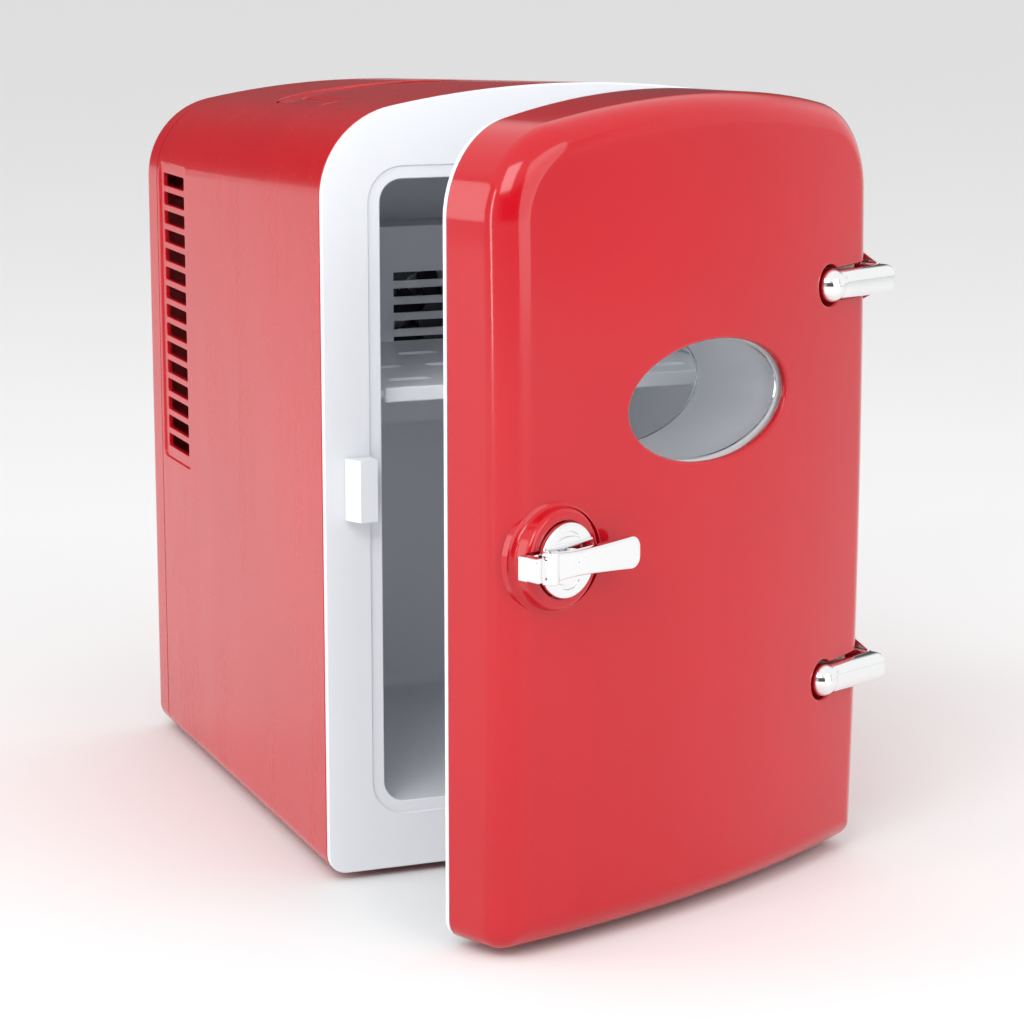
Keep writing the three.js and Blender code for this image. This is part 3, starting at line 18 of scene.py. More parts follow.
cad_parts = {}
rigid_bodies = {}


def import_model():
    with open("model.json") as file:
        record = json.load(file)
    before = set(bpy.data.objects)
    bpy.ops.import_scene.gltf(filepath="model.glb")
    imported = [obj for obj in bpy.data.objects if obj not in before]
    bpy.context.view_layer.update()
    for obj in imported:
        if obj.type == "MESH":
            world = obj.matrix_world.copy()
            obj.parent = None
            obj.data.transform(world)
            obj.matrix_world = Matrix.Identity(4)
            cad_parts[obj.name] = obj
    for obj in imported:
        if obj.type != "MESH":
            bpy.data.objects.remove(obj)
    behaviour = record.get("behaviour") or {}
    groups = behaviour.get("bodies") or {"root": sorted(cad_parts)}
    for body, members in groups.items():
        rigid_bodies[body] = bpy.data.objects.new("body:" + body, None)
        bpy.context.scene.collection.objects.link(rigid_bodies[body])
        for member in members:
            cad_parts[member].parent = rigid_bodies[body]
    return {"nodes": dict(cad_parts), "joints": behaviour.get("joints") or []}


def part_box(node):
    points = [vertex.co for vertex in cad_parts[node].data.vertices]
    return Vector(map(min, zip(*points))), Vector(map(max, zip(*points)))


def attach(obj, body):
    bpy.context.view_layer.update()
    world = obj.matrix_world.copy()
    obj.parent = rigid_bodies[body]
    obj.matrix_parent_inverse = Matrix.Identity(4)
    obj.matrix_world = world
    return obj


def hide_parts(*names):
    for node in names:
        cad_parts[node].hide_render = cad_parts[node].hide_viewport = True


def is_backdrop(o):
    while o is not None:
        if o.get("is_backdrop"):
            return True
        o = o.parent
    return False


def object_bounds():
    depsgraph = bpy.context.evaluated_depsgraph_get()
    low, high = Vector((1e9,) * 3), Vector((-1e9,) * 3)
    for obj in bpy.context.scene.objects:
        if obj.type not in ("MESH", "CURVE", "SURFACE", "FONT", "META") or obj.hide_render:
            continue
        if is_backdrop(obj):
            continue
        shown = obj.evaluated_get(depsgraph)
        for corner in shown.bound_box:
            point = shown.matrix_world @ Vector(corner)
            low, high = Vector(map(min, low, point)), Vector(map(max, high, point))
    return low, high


for leftover in list(bpy.data.objects):
    bpy.data.objects.remove(leftover)
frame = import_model()
nodes = frame["nodes"]
cad_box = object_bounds()

# %% [markdown]
# ## Where things are
#
# The front frame of the cabinet is a flat plate, so its box tells where the cabinet's front face
# and its middle lie. All drawings below start there: x to the right, y to the back, z up from
# the floor. The door is drawn closed and then turned open about the axis of its hinge, which the
# mechanical record states together with the angle.

# %% The cabinet's own coordinates
MM = 0.001
frame_low, frame_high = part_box("front_frame")
MIDDLE_X = (frame_low.x + frame_high.x) / 2
FRONT_Y = frame_low.y
WIDTH = (frame_high.x - frame_low.x) / MM
UNDERSIDE = frame_low.z / MM
CROWN_TOP = frame_high.z / MM
HALF = WIDTH / 2

door_joint = next(joint for joint in frame["joints"] if joint["name"] == "door_swing")
HINGE = Vector(door_joint["pos_m"])
OPEN_ANGLE = math.radians(-door_joint["range_deg"][0])

to_cabinet = Matrix.Translation((MIDDLE_X, FRONT_Y, 0)) @ Matrix.Scale(MM, 4)
to_door = (
    Matrix.Translation(HINGE)
    @ Matrix.Rotation(OPEN_ANGLE, 4, "Z")
    @ Matrix.Translation(-HINGE)
    @ to_cabinet
)
print(f"cabinet {WIDTH:.1f} mm wide, {CROWN_TOP:.1f} mm high")
print(f"door open {math.degrees(OPEN_ANGLE):.1f} degrees")

# %% [markdown]
# ## Sizes from the drawing
#
# Each number has a name, so that a shape is changed in one place. Most are the sizes that the
# mechanical model uses too, because both have to fill the same space. A few differ a little: the
# hinge arms start further left and lie deeper, and the handle's well has more room at its front.

# %% Sizes
CORNER = 32
CROWN = 358
BASE_CORNER = 7
HEIGHT = CROWN_TOP - UNDERSIDE
DEPTH = 236
TOP_FALL = 11
WALL = 2.4
GAP = 0.3
FRAME_THICKNESS = 2.6
SHELL_END = 216
OPENING_HALF = 72.5
OPENING_LOW = UNDERSIDE + 24.7
OPENING_HIGH = OPENING_LOW + 223.6
OPENING_CORNER = 8
COOLER_Z = UNDERSIDE + 178
MIDDLE_Z = UNDERSIDE + HEIGHT / 2
DOOR_EDGE = 28
DOOR_BOW = 9.6
DOOR_BOW_UPRIGHT = 2.2
DOOR_ROUND = 10
LATCH_X = -75.4
LATCH_Z = UNDERSIDE + 133.4
WINDOW_X = -4
WINDOW_Z = UNDERSIDE + 177.6
WINDOW_HALF_WIDTH = 40
WINDOW_HALF_HEIGHT = 20.6
HINGE_HEIGHTS = [UNDERSIDE + 67, UNDERSIDE + 210]
ARM_START_X = 63.6
print(f"opening {2 * OPENING_HALF} x {OPENING_HIGH - OPENING_LOW:.1f} mm")

# %% [markdown]
# ## Tools for building meshes
#
# A moulding is mostly a skin stretched over rings of points, so `skin` is the workhorse: it joins
# rings that all have the same number of points and closes the two ends. `carve` cuts solids with
# a Boolean modifier and keeps the result as plain mesh. Rounded lips are part of the cutting
# tool: it flares by a quarter circle where it leaves the surface, which is cleaner than a bevel
# on a mesh that has just been cut.

# %% Mesh helpers
scene = bpy.context.scene


def mesh_object(name, points, faces):
    """A new object from points in millimetres and faces of point numbers."""
    mesh = bpy.data.meshes.new(name)
    mesh.from_pydata([tuple(point) for point in points], [], faces)
    mesh.update()
    made = bpy.data.objects.new(name, mesh)
    scene.collection.objects.link(made)
    return made


def skin(name, rings, closed=True):
    """A closed skin over rings that have equal numbers of points."""
    count = len(rings[0])
    points = [point for ring in rings for point in ring]
    faces = []
    for r in range(len(rings) - 1):
        a, b = r * count, (r + 1) * count
        for i in range(count):
            j = (i + 1) % count
            faces.append((a + i, a + j, b + j, b + i))
    if closed:
        faces.append(tuple(range(count - 1, -1, -1)))
        last = (len(rings) - 1) * count
        faces.append(tuple(range(last, last + count)))
    made = mesh_object(name, points, faces)
    outward(made)
    return made


def outward(made):
    """Turn all faces so that they look out of the solid."""
    work = bmesh.new()
    work.from_mesh(made.data)
    bmesh.ops.recalc_face_normals(work, faces=work.faces)
    if work.calc_volume(signed=True) < 0:
        bmesh.ops.reverse_faces(work, faces=work.faces)
    work.to_mesh(made.data)
    work.free()


def carve(body, tools, operation="DIFFERENCE"):
    """Cut tools from a body, or join them to it, and remove the tools."""
    for tool in tools:
        step = body.modifiers.new("carve", "BOOLEAN")
        step.operation = operation
        step.solver = "MANIFOLD"
        step.object = tool
    bake_modifiers(body)
    for tool in tools:
        bpy.data.objects.remove(tool)
    return body


def bake_modifiers(body):
    """Replace a mesh by what its modifiers make of it."""
    bpy.context.view_layer.update()
    seen = body.evaluated_get(bpy.context.evaluated_depsgraph_get())
    mesh = bpy.data.meshes.new_from_object(seen)
    body.modifiers.clear()
    body.data = mesh


def soften(body, width, segments=2, angle=38):
    """Round the sharp edges of a body by a small bevel."""
    bevel = body.modifiers.new("rounding", "BEVEL")
    bevel.width = width
    bevel.segments = segments
    bevel.limit_method = "ANGLE"
    bevel.angle_limit = math.radians(angle)
    bevel.miter_outer = "MITER_ARC"
    bake_modifiers(body)
    return body


def shade(body, angle=32):
    """Smooth shading, with a crease only where two faces meet at more than the angle."""
    body.data.polygons.foreach_set("use_smooth", [True] * len(body.data.polygons))
    body.data.set_sharp_from_angle(angle=math.radians(angle))
    body.data.update()


print("mesh helpers ready")

# %% [markdown]
# ## Outlines
#
# Cabinet and door share one outline: an arched crown, two upper corners of 32 mm and small lower
# corners. `outline` walks round it with many short steps, so that the finished edge looks like a
# curve and not like a polygon. The other outlines are the usual ones of a drawing: a rounded
# rectangle, an ellipse and a circle. `grow` makes any of them larger or smaller all round.


# %% Outlines
def arc(x, z, radius, start, stop, steps):
    """Points on an arc, without its last one."""
    turns = [start + (stop - start) * i / steps for i in range(steps)]
    return [(x + radius * math.cos(turn), z + radius * math.sin(turn)) for turn in turns]


def line(start, stop, steps):
    """Points on a straight line, without its last one."""
    return [
        (start[0] + (stop[0] - start[0]) * i / steps, start[1] + (stop[1] - start[1]) * i / steps)
        for i in range(steps)
    ]


def outline(inset, fall=0.0):
    """The outline of cabinet and door, smaller by the inset, its crown lowered by the fall."""
    crown_z = CROWN_TOP - fall - CROWN
    corner_x = HALF - CORNER
    corner_z = crown_z + math.sqrt((CROWN - CORNER) ** 2 - corner_x**2)
    meet = math.atan2(corner_z - crown_z, corner_x)
    base = max(BASE_CORNER - inset, 1)
    base_x = HALF - inset - base
    base_z = UNDERSIDE + inset + base
    side = HALF - inset
    return [
        *arc(-base_x, base_z, base, math.pi, 1.5 * math.pi, 6),
        *line((-base_x, base_z - base), (base_x, base_z - base), 16),
        *arc(base_x, base_z, base, 1.5 * math.pi, 2 * math.pi, 6),
        *line((side, base_z), (side, corner_z), 20),
        *arc(corner_x, corner_z, CORNER - inset, 0, meet, 18),
        *arc(0, crown_z, CROWN - inset, meet, math.pi - meet, 22),
        *arc(-corner_x, corner_z, CORNER - inset, math.pi - meet, math.pi, 18),
        *line((-side, corner_z), (-side, base_z), 20),
    ]


def rounded_rectangle(a0, a1, b0, b1, radius, steps=6):
    """Points of a rectangle with rounded corners, counter-clockwise."""
    radius = max(radius, 0.05)
    return [
        *arc(a1 - radius, b0 + radius, radius, -math.pi / 2, 0, steps),
        (a1, b0 + radius),
        *arc(a1 - radius, b1 - radius, radius, 0, math.pi / 2, steps),
        (a1 - radius, b1),
        *arc(a0 + radius, b1 - radius, radius, math.pi / 2, math.pi, steps),
        (a0, b1 - radius),
        *arc(a0 + radius, b0 + radius, radius, math.pi, 1.5 * math.pi, steps),
        (a0 + radius, b0),
    ]


def ellipse(x, z, half_width, half_height, steps=72):
    """Points on an ellipse."""
    turns = [2 * math.pi * i / steps for i in range(steps)]
    return [(x + half_width * math.cos(t), z + half_height * math.sin(t)) for t in turns]


def opening(grow, steps=8):
    """The opening of the chamber."""
    return rounded_rectangle(
        -OPENING_HALF - grow,
        OPENING_HALF + grow,
        OPENING_LOW - grow,
        OPENING_HIGH + grow,
        OPENING_CORNER + grow,
        steps,
    )


print(f"the outline has {len(outline(0))} points")

# %% [markdown]
# ## Profiles along the depth
#
# Three ways to turn an outline into a solid. `pull` is a plain extrusion with optional rounded
# ends. `sink` makes a cutting tool that flares into a rounded lip at a surface, and `raise_up`
# makes a boss that flows out of a surface with a hollow fillet. The surface is given as a
# function of x and z, so both follow the bowed front of the door.


# %% Solids from outlines
def quarter(steps=5):
    """Angles of a quarter turn."""
    return [math.pi / 2 * i / steps for i in range(steps + 1)]


def eased(low, high, start=0.0, end=0.0, steps=5):
    """Levels from low to high with rounded ends, each as how much a shape grows and its place."""
    first = [(-start * (1 - math.sin(t)), low + start * (1 - math.cos(t))) for t in quarter(steps)]
    last = [(-end * (1 - math.sin(t)), high - end * (1 - math.cos(t))) for t in quarter(steps)]
    return [*(first if start else [(0, low)]), *(last[::-1] if end else [(0, high)])]


def flared(lip, steps):
    """A rounded lip, from wide at the surface to its full depth, as growth and depth."""
    return [(lip * (1 - math.sin(t)), lip * (1 - math.cos(t))) for t in quarter(steps)]


def cupped(depth, bottom, steps):
    """The rounded foot of a recess, as growth and depth."""
    turns = quarter(steps) if bottom else [0]
    return [(-bottom * (1 - math.cos(t)), depth - bottom * (1 - math.sin(t))) for t in turns]


def ring_at(shape, y):
    """A ring of 3-D points at one depth, or on a surface given as a function."""
    depth = y if callable(y) else (lambda x, z: y)
    return [(x, depth(x, z), z) for x, z in shape]


def pull(name, shape, y0, y1, rounded_front=0.0, rounded_back=0.0, steps=5):
    """A solid between two depths. The shape is a function of how much it grows."""
    levels = eased(y0, y1, rounded_front, rounded_back, steps)
    return skin(name, [ring_at(shape(grow), y) for grow, y in levels])


def sink(name, shape, surface, depth, lip, bottom=0.0, direction=1, steps=5):
    """A cutting tool that leaves a rounded lip where it enters the surface."""

    def level(offset):
        return lambda x, z: surface(x, z) + direction * offset

    levels = [(lip, -3), *flared(lip, steps), *cupped(depth, bottom, steps)]
    return skin(name, [ring_at(shape(grow), level(offset)) for grow, offset in levels])


print("pull and sink ready")

# %% [markdown]
# ## Sums made of nodes
#
# A material's roughness or colour often changes over its surface by a small sum, such as "one
# minus the scratches times a third". `Wire` wraps the output of a node, so such a sum can be
# written as in arithmetic, and each sign adds its Math node. `Network` is a tree of nodes; its
# `node` method adds any other node from its type, its settings and its inputs. `Finish` is the
# network of a material.


# %% Classes for sums, node trees and materials
class Wire:
    """The output of a node, which can stand in a sum."""

    def __init__(self, finish, socket):
        self.finish = finish
        self.socket = socket

    def sum(self, operation, first, second):
        return self.finish.node("ShaderNodeMath", {"operation": operation}, {0: first, 1: second})

    def __add__(self, other):
        return self.sum("ADD", self, other)

    def __radd__(self, other):
        return self.sum("ADD", other, self)

    def __sub__(self, other):
        return self.sum("SUBTRACT", self, other)

    def __rsub__(self, other):
        return self.sum("SUBTRACT", other, self)

    def __mul__(self, other):
        return self.sum("MULTIPLY", self, other)

    def __rmul__(self, other):
        return self.sum("MULTIPLY", other, self)


class Network:
    """A tree of nodes, of a material or of the surround."""

    def __init__(self, tree):
        self.nodes = tree.nodes
        self.links = tree.links

    def feed(self, socket, value):
        if isinstance(value, Wire):
            self.links.new(value.socket, socket)
        elif hasattr(socket.default_value, "__len__"):
            value = tuple(value)
            short = len(value) == 3 and len(socket.default_value) == 4
            socket.default_value = (*value, 1.0) if short else value
        else:
            socket.default_value = value

    def node(self, kind, settings=None, inputs=None, output=0):
        made = self.nodes.new(kind)
        for name, value in (settings or {}).items():
            if name == "stops":
                for i, (position, color) in enumerate(value):
                    ramp = made.color_ramp.elements
                    stop = ramp[i] if i < len(ramp) else ramp.new(position)
                    stop.position = position
                    stop.color = (*color, 1.0)
            else:
                setattr(made, name, value)
        for name, value in (inputs or {}).items():
            self.feed(made.inputs[name], value)
        return Wire(self, made.outputs[output])

    def position(self, stretch=(1, 1, 1)):
        """The place on the object, in metres, stretched along its axes."""
        place = self.node("ShaderNodeTexCoord", output="Object")
        return self.node("ShaderNodeMapping", {}, {"Vector": place, "Scale": stretch})

    def noise(self, scale, detail=3.0, rough=0.5, stretch=(1, 1, 1)):
        """Smooth random values from 0 to 1; the scale is in cells per metre."""
        inputs = {
            "Vector": self.position(stretch), "Scale": scale, "Detail": detail, "Roughness": rough,
        }
        return self.node("ShaderNodeTexNoise", {}, inputs)

    def ramp(self, value, *stops):
        """A value carried through grey steps."""
        greys = [(position, (grey, grey, grey)) for position, grey in stops]
        return self.node("ShaderNodeValToRGB", {"stops": greys}, {"Fac": value})

    def mixed(self, factor, first, second):
        """One colour blended into another."""
        inputs = {"Factor": factor, "A": first, "B": second}
        made = self.nodes.new("ShaderNodeMix")
        made.data_type = "RGBA"
        sockets = {"Factor": made.inputs[0], "A": made.inputs[6], "B": made.inputs[7]}
        for name, value in inputs.items():
            self.feed(sockets[name], value)
        return Wire(self, made.outputs[2])

    def bumped(self, height, depth, strength=1.0, under=None):
        """A bump map from a height; the depth is in metres."""
        inputs = {"Height": height, "Distance": depth, "Strength": strength}
        if under:
            inputs["Normal"] = under
        return self.node("ShaderNodeBump", {}, inputs)


class Finish(Network):
    """A material that is built from nodes."""

    def __init__(self, name, color, roughness, **constants):
        self.material = bpy.data.materials.new(name)
        self.material.use_nodes = True
        super().__init__(self.material.node_tree)
        self.shader = self.nodes["Principled BSDF"]
        self.set(**{"Base Color": color, "Roughness": roughness})
        for socket, value in constants.items():
            self.shader.inputs[socket.replace("_", " ")].default_value = value

    def set(self, **values):
        for socket, value in values.items():
            self.feed(self.shader.inputs[socket], value)


print("material helpers ready")

# %% [markdown]
# ## Glossy red
#
# The shell is a moulding of coloured plastic with a hard shine. Real gloss isn't a perfect
# mirror: the surface waves very slightly, as orange peel does, and carries faint wipe marks and
# specks of dust that dull it here and there. Its colour changes slowly from place to place.
# The same maker serves a second, slightly duller red for the cabinet, which is handled more.


# %% Red plastic
def red_plastic(name, color, roughness, peel):
    finish = Finish(name, color, roughness, Coat_Weight=0.25, Coat_Roughness=0.04, IOR=1.42)
    cloud = finish.noise(9.0, 3.0)
    wipes = finish.noise(60.0, 5.0, 0.65, (1.0, 1.0, 0.12))
    specks = finish.ramp(finish.noise(1500.0, 2.0, 0.4), (0.74, 0.0), (0.8, 1.0))
    deeper = tuple(part * 0.86 for part in color)
    lighter = tuple(min(part * 1.1, 1) for part in color)
    finish.set(
        **{
            "Base Color": finish.mixed(cloud, deeper, lighter),
            "Roughness": roughness + (wipes - 0.5) * 0.12 + specks * 0.2,
            "Coat Weight": 0.3 - wipes * 0.1,
            "Normal": finish.bumped(
                finish.noise(420.0, 2.0), 0.00004 * peel,
                under=finish.bumped(finish.noise(38.0, 1.0), 0.0004 * peel),
            ),
        }
    )
    return finish.material


DOOR_RED = red_plastic("door_red_gloss", (0.50, 0.004, 0.012), 0.13, 0.35)
CABINET_RED = red_plastic("cabinet_red_gloss", (0.52, 0.004, 0.011), 0.26, 0.35)
print(DOOR_RED.name, CABINET_RED.name)

# %% [markdown]
# ## White and grey plastics
#
# The frame, the liners and the shelf are moulded from a cool white plastic. Frames have a fine
# spark-eroded grain, which scatters light evenly, and the vacuum-formed chamber lining is a
# little greyer and softer. Both get grain as bump and a slow change of tone.


# %% Grained plastics
def grained_plastic(name, color, roughness, grain_scale, grain_depth, coat=0.0):
    finish = Finish(name, color, roughness, IOR=1.48, Coat_Weight=coat, Coat_Roughness=0.15)
    tone = finish.noise(14.0, 3.0)
    scuffs = finish.ramp(finish.noise(90.0, 6.0, 0.7, (1.0, 0.25, 1.0)), (0.6, 0.0), (0.75, 1.0))
    darker = tuple(part * 0.965 for part in color)
    lighter = tuple(min(part * 1.025, 1) for part in color)
    finish.set(
        **{
            "Base Color": finish.mixed(tone, darker, lighter),
            "Roughness": roughness + (tone - 0.5) * 0.08 + scuffs * 0.08,
            "Normal": finish.bumped(finish.noise(grain_scale, 4.0, 0.6), grain_depth),
        }
    )
    return finish.material


WHITE = grained_plastic("frame_white", (0.80, 0.815, 0.85), 0.34, 2400.0, 0.000012, 0.15)
LINER = grained_plastic("liner_grey", (0.78, 0.80, 0.835), 0.42, 900.0, 0.00003)
BLACK = grained_plastic("fitting_black", (0.018, 0.018, 0.02), 0.45, 1800.0, 0.00004)
RUBBER = grained_plastic("dark_rubber", (0.022, 0.022, 0.024), 0.78, 1100.0, 0.00006)
SEAL = grained_plastic("seal_grey", (0.50, 0.53, 0.58), 0.62, 1300.0, 0.00003)
print("plastics:", WHITE.name, LINER.name, BLACK.name, RUBBER.name, SEAL.name)

# %% [markdown]
# ## Metals
#
# Chrome plating copies whatever is around it. What tells it from a perfect mirror are hair-fine
# scratches and a breath of haze. Zinc-plated steel is duller and faintly brushed, and extruded
# aluminium shows fine lines along its length.


# %% Chrome, steel and aluminium
def metal(name, color, roughness, line_stretch, line_depth, spread):
    finish = Finish(name, color, roughness, Metallic=1.0)
    haze = finish.noise(70.0, 4.0)
    lines = finish.noise(700.0, 5.0, 0.6, line_stretch)
    finish.set(
        **{
            "Base Color": finish.mixed(haze, tuple(part * 0.94 for part in color), color),
            "Roughness": roughness + (haze * 0.6 + lines * 0.4 - 0.5) * spread,
            "Normal": finish.bumped(lines, line_depth),
        }
    )
    return finish.material


CHROME = metal("bright_chrome", (0.88, 0.885, 0.89), 0.045, (1.0, 1.0, 0.3), 0.0000015, 0.04)
STEEL = metal("zinc_steel", (0.56, 0.57, 0.59), 0.32, (1.0, 1.0, 0.1), 0.000008, 0.16)
ALUMINIUM = metal("drawn_aluminium", (0.72, 0.73, 0.75), 0.38, (1.0, 1.0, 0.04), 0.00001, 0.14)
print("metals:", CHROME.name, STEEL.name, ALUMINIUM.name)

# %% [markdown]
# ## Clear panes, foam and electrics
#
# The window has two panes of clear acrylic, so it both mirrors and lets light through; smudges
# make its roughness uneven. Foam is a heap of round beads pressed together, which a cell texture
# draws well. The supply board is green lacquer over a fine weave, and the cooling module's
# ceramic face is a plain matt white with a trace of cloud.


# %% Pane, foam, board and ceramic
def clear_pane():
    finish = Finish("clear_acrylic", (0.95, 0.97, 0.98), 0.02, IOR=1.3)
    finish.shader.inputs["Transmission Weight"].default_value = 1.0
    smudges = finish.ramp(finish.noise(30.0, 5.0, 0.7), (0.5, 0.0), (0.85, 1.0))
    finish.set(
        **{
            "Roughness": 0.01 + smudges * 0.05,
            "Normal": finish.bumped(finish.noise(50.0, 1.0), 0.00001),
        }
    )
    return finish.material


def foam():
    finish = Finish("pressed_foam", (0.84, 0.84, 0.81), 0.9)
    beads = finish.node(
        "ShaderNodeTexVoronoi", {"feature": "F1"}, {"Vector": finish.position(), "Scale": 330.0}
    )
    finish.set(
        **{
            "Base Color": finish.mixed(beads, (0.88, 0.88, 0.85), (0.7, 0.7, 0.67)),
            "Roughness": 0.85 + beads * 0.1,
            "Normal": finish.bumped(1.0 - beads, 0.0003),
        }
    )
    return finish.material


def board():
    finish = Finish("board_green", (0.02, 0.14, 0.06), 0.4)
    tracks = finish.ramp(finish.noise(260.0, 1.0, 0.5, (1.0, 1.0, 0.2)), (0.49, 0.0), (0.53, 1.0))
    finish.set(
        **{
            "Base Color": finish.mixed(tracks, (0.015, 0.11, 0.05), (0.04, 0.22, 0.10)),
            "Roughness": 0.45 - tracks * 0.12,
            "Normal": finish.bumped(tracks, 0.00004),
        }
    )
    return finish.material


PANE = clear_pane()
FOAM = foam()
BOARD = board()
CERAMIC = grained_plastic("white_ceramic", (0.82, 0.82, 0.78), 0.55, 700.0, 0.00002)
print("others:", PANE.name, FOAM.name, BOARD.name, CERAMIC.name)


# %% [markdown]
# ## Putting a piece in place
#
# `place` is the last step for every piece: it moves the drawing to its place in metres, gives it
# its finish, hides the plain node that it stands for and lets it ride on the right body.


def place(made, finish, stands_for, body="cabinet", crease=32):
    """Move a drawn piece to its place and let it ride on a body."""
    on_door = body in ("door", "latch_lever")
    made.data.transform(to_door if on_door else to_cabinet)
    made.data.materials.clear()
    made.data.materials.append(finish)
    for polygon in made.data.polygons:
        polygon.material_index = 0
    shade(made, crease)
    even = made.modifiers.new("even normals", "WEIGHTED_NORMAL")
    even.keep_sharp = True
    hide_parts(*stands_for)
    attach(made, body)
    low = Vector(map(min, *(v.co for v in made.data.vertices)))
    high = Vector(map(max, *(v.co for v in made.data.vertices)))
    size = " x ".join(f"{part / MM:.1f}" for part in high - low)
    print(f"{made.name}: {size} mm, {len(made.data.polygons)} faces")
    return made


# %% [markdown]
# ## The door's shell
#
# The door is bowed like a shield and rounded over along its whole edge. It is drawn as rings:
# one at the back, a dozen that roll over the edge by a quarter turn, and then ever smaller ones
# across the face, each lifted by the bow at that spot. Such rings keep reflections calm, which
# matters more on gloss than anything else.


# %% Bowed door skin
def bow(x, z):
    """How far the face stands out in front of its edge."""
    across = DOOR_BOW * (1 - (x / HALF) ** 2)
    upright = DOOR_BOW_UPRIGHT * (1 - ((z - MIDDLE_Z) / (HEIGHT / 2)) ** 2)
    return across + upright


def door_face(x, z):
    return -DOOR_EDGE - bow(x, z)


def door_skin(name, inset, back_y):
    edge = DOOR_EDGE - inset
    rounding = DOOR_ROUND - inset

    def ring(ring_inset, depth, scale=1.0):
        points = [(x * scale, MIDDLE_Z + (z - MIDDLE_Z) * scale) for x, z in outline(ring_inset)]
        return [(x, -depth - bow(x, z), z) for x, z in points]

    rings = [ring_at(outline(inset), back_y)]
    for turn in quarter(12):
        depth = edge - rounding + rounding * math.sin(turn)
        rings.append(ring(inset + rounding * (1 - math.cos(turn)), depth))
    steps = 22
    for i in range(1, steps):
        rings.append(ring(inset + rounding, edge, 1 - i / steps))
    return skin(name, rings)


DOOR_BACK = -0.8
SHELL_BACK = DOOR_BACK - 1.8 - GAP
door_shell = door_skin("door_red_shell", 0, SHELL_BACK)
carve(door_shell, [door_skin("inside", WALL, SHELL_BACK + 1)])
print(f"door skin: {len(door_shell.data.polygons)} faces")

# %% [markdown]
# ## Collar, hinge channels and window in the shell
#
# A round collar rises from the bowed face and carries the latch. It leaves the face with a
# hollow fillet, has a rounded rim, and is level on top although the face slopes. At the right
# edge a keyhole-shaped channel makes room for each hinge arm. The window is an oval with a
# softly rounded lip.


# %% Collar and channels
COLLAR_RADIUS = 17
COLLAR_FRONT = door_face(LATCH_X, LATCH_Z) - 5 + 0.8
PLATE_RADIUS = 12.6
PLATE_BACK = COLLAR_FRONT + 1.2
PLATE_FRONT = PLATE_BACK - 3.4
PIN_X = LATCH_X - 12.2
PIN_Y = PLATE_FRONT - 2.9 - 0.3
LUG_HALF = 4.2
DIMPLE_RADIUS = 7.3
CHANNEL_HALF = 5.6
CHANNEL_DEPTH = 8.2


def disc(radius):
    return lambda grow: ellipse(LATCH_X, LATCH_Z, radius + grow, radius + grow, 64)


def latch_collar():
    shape = disc(COLLAR_RADIUS)
    fillet, rim = 2.0, 2.0
    rings = [ring_at(shape(fillet), lambda x, z: door_face(x, z) + WALL)]
    for turn in quarter(6):
        rise = fillet * (1 - math.cos(turn))
        ring = shape(fillet * (1 - math.sin(turn)))
        rings.append(ring_at(ring, lambda x, z, rise=rise: door_face(x, z) - rise))
    for turn in quarter(6):
        ring = shape(-rim * (1 - math.cos(turn)))
        rings.append(ring_at(ring, COLLAR_FRONT + rim * (1 - math.sin(turn))))
    return skin("collar", rings)


def arm_channel(height):
    """A keyhole: a round dimple for the ball, and a channel that widens to the door's edge."""

    def shape(grow):
        radius = DIMPLE_RADIUS + grow
        channel = CHANNEL_HALF + grow
        meet = math.asin(channel / radius)
        end = HALF + 6
        round_part = arc(ARM_START_X, height, radius, meet, 2 * math.pi - meet, 36)
        neck = ARM_START_X + radius * math.cos(meet)
        flare = [(neck + (end - neck) * s, channel + 1.6 * s**3) for s in (0, 0.25, 0.5, 0.75, 1)]
        return [
            *round_part,
            *[(x, height - rise) for x, rise in flare],
            *[(x, height + rise) for x, rise in reversed(flare)],
        ]

    return sink("channel", shape, door_face, CHANNEL_DEPTH, 1.1, 4.2)


def window(grow):
    return ellipse(WINDOW_X, WINDOW_Z, WINDOW_HALF_WIDTH + grow, WINDOW_HALF_HEIGHT + grow, 96)


def channel_bed(height):
    """Plastic behind a channel, so that the cut doesn't open the shell."""
    bed = pull(
        "bed",
        lambda grow: rounded_rectangle(
            ARM_START_X - 10, HALF - 0.4, height - 10, height + 10, 8
        ),
        door_face(ARM_START_X, height) - 1,
        door_face(ARM_START_X, height) + 14,
    )
    return carve(bed, [door_skin("limit", 0.2, SHELL_BACK)], "INTERSECT")


carve(door_shell, [latch_collar(), *[channel_bed(z) for z in HINGE_HEIGHTS]], "UNION")
level_collar = lambda x, z: COLLAR_FRONT
lug_shape = lambda grow: rounded_rectangle(
    PIN_X - 8.6 - grow, LATCH_X, LATCH_Z - LUG_HALF - 0.4 - grow, LATCH_Z + LUG_HALF + 0.4 + grow, 1
)
carve(
    door_shell,
    [
        *[arm_channel(z) for z in HINGE_HEIGHTS],
        sink("window", window, door_face, 14, 1.2),
        sink("plate_seat", disc(PLATE_RADIUS + GAP), level_collar, 1.5, 0.5),
        sink("lug_seat", lug_shape, level_collar, 1.5, 0.4),
    ],
)
place(door_shell, DOOR_RED, ["door_shell"], "door")

# %% [markdown]
# ## Door liner, seal and window insert
#
# Behind the red shell sits a white liner. Its rim shows as a thin line all round the door's back
# edge, and its raised plug reaches into the chamber. A soft grey seal lies on it. The window is
# an oval sleeve with a clear pane at each end, as in a double-glazed window.

# %% Liner, seal, sleeve and panes
SEAL_BACK = DOOR_BACK + 0.4
LINER_BACK = SEAL_BACK - 2.6 - GAP
LINER_FRONT = LINER_BACK - 2.2
PLUG_DEPTH = 5
KEEPER_HALF = 4.8
KEEPER_X = -HALF + 7.4 + KEEPER_HALF
KEEPER_LOW = UNDERSIDE + 129.6
KEEPER_HEIGHT = 22


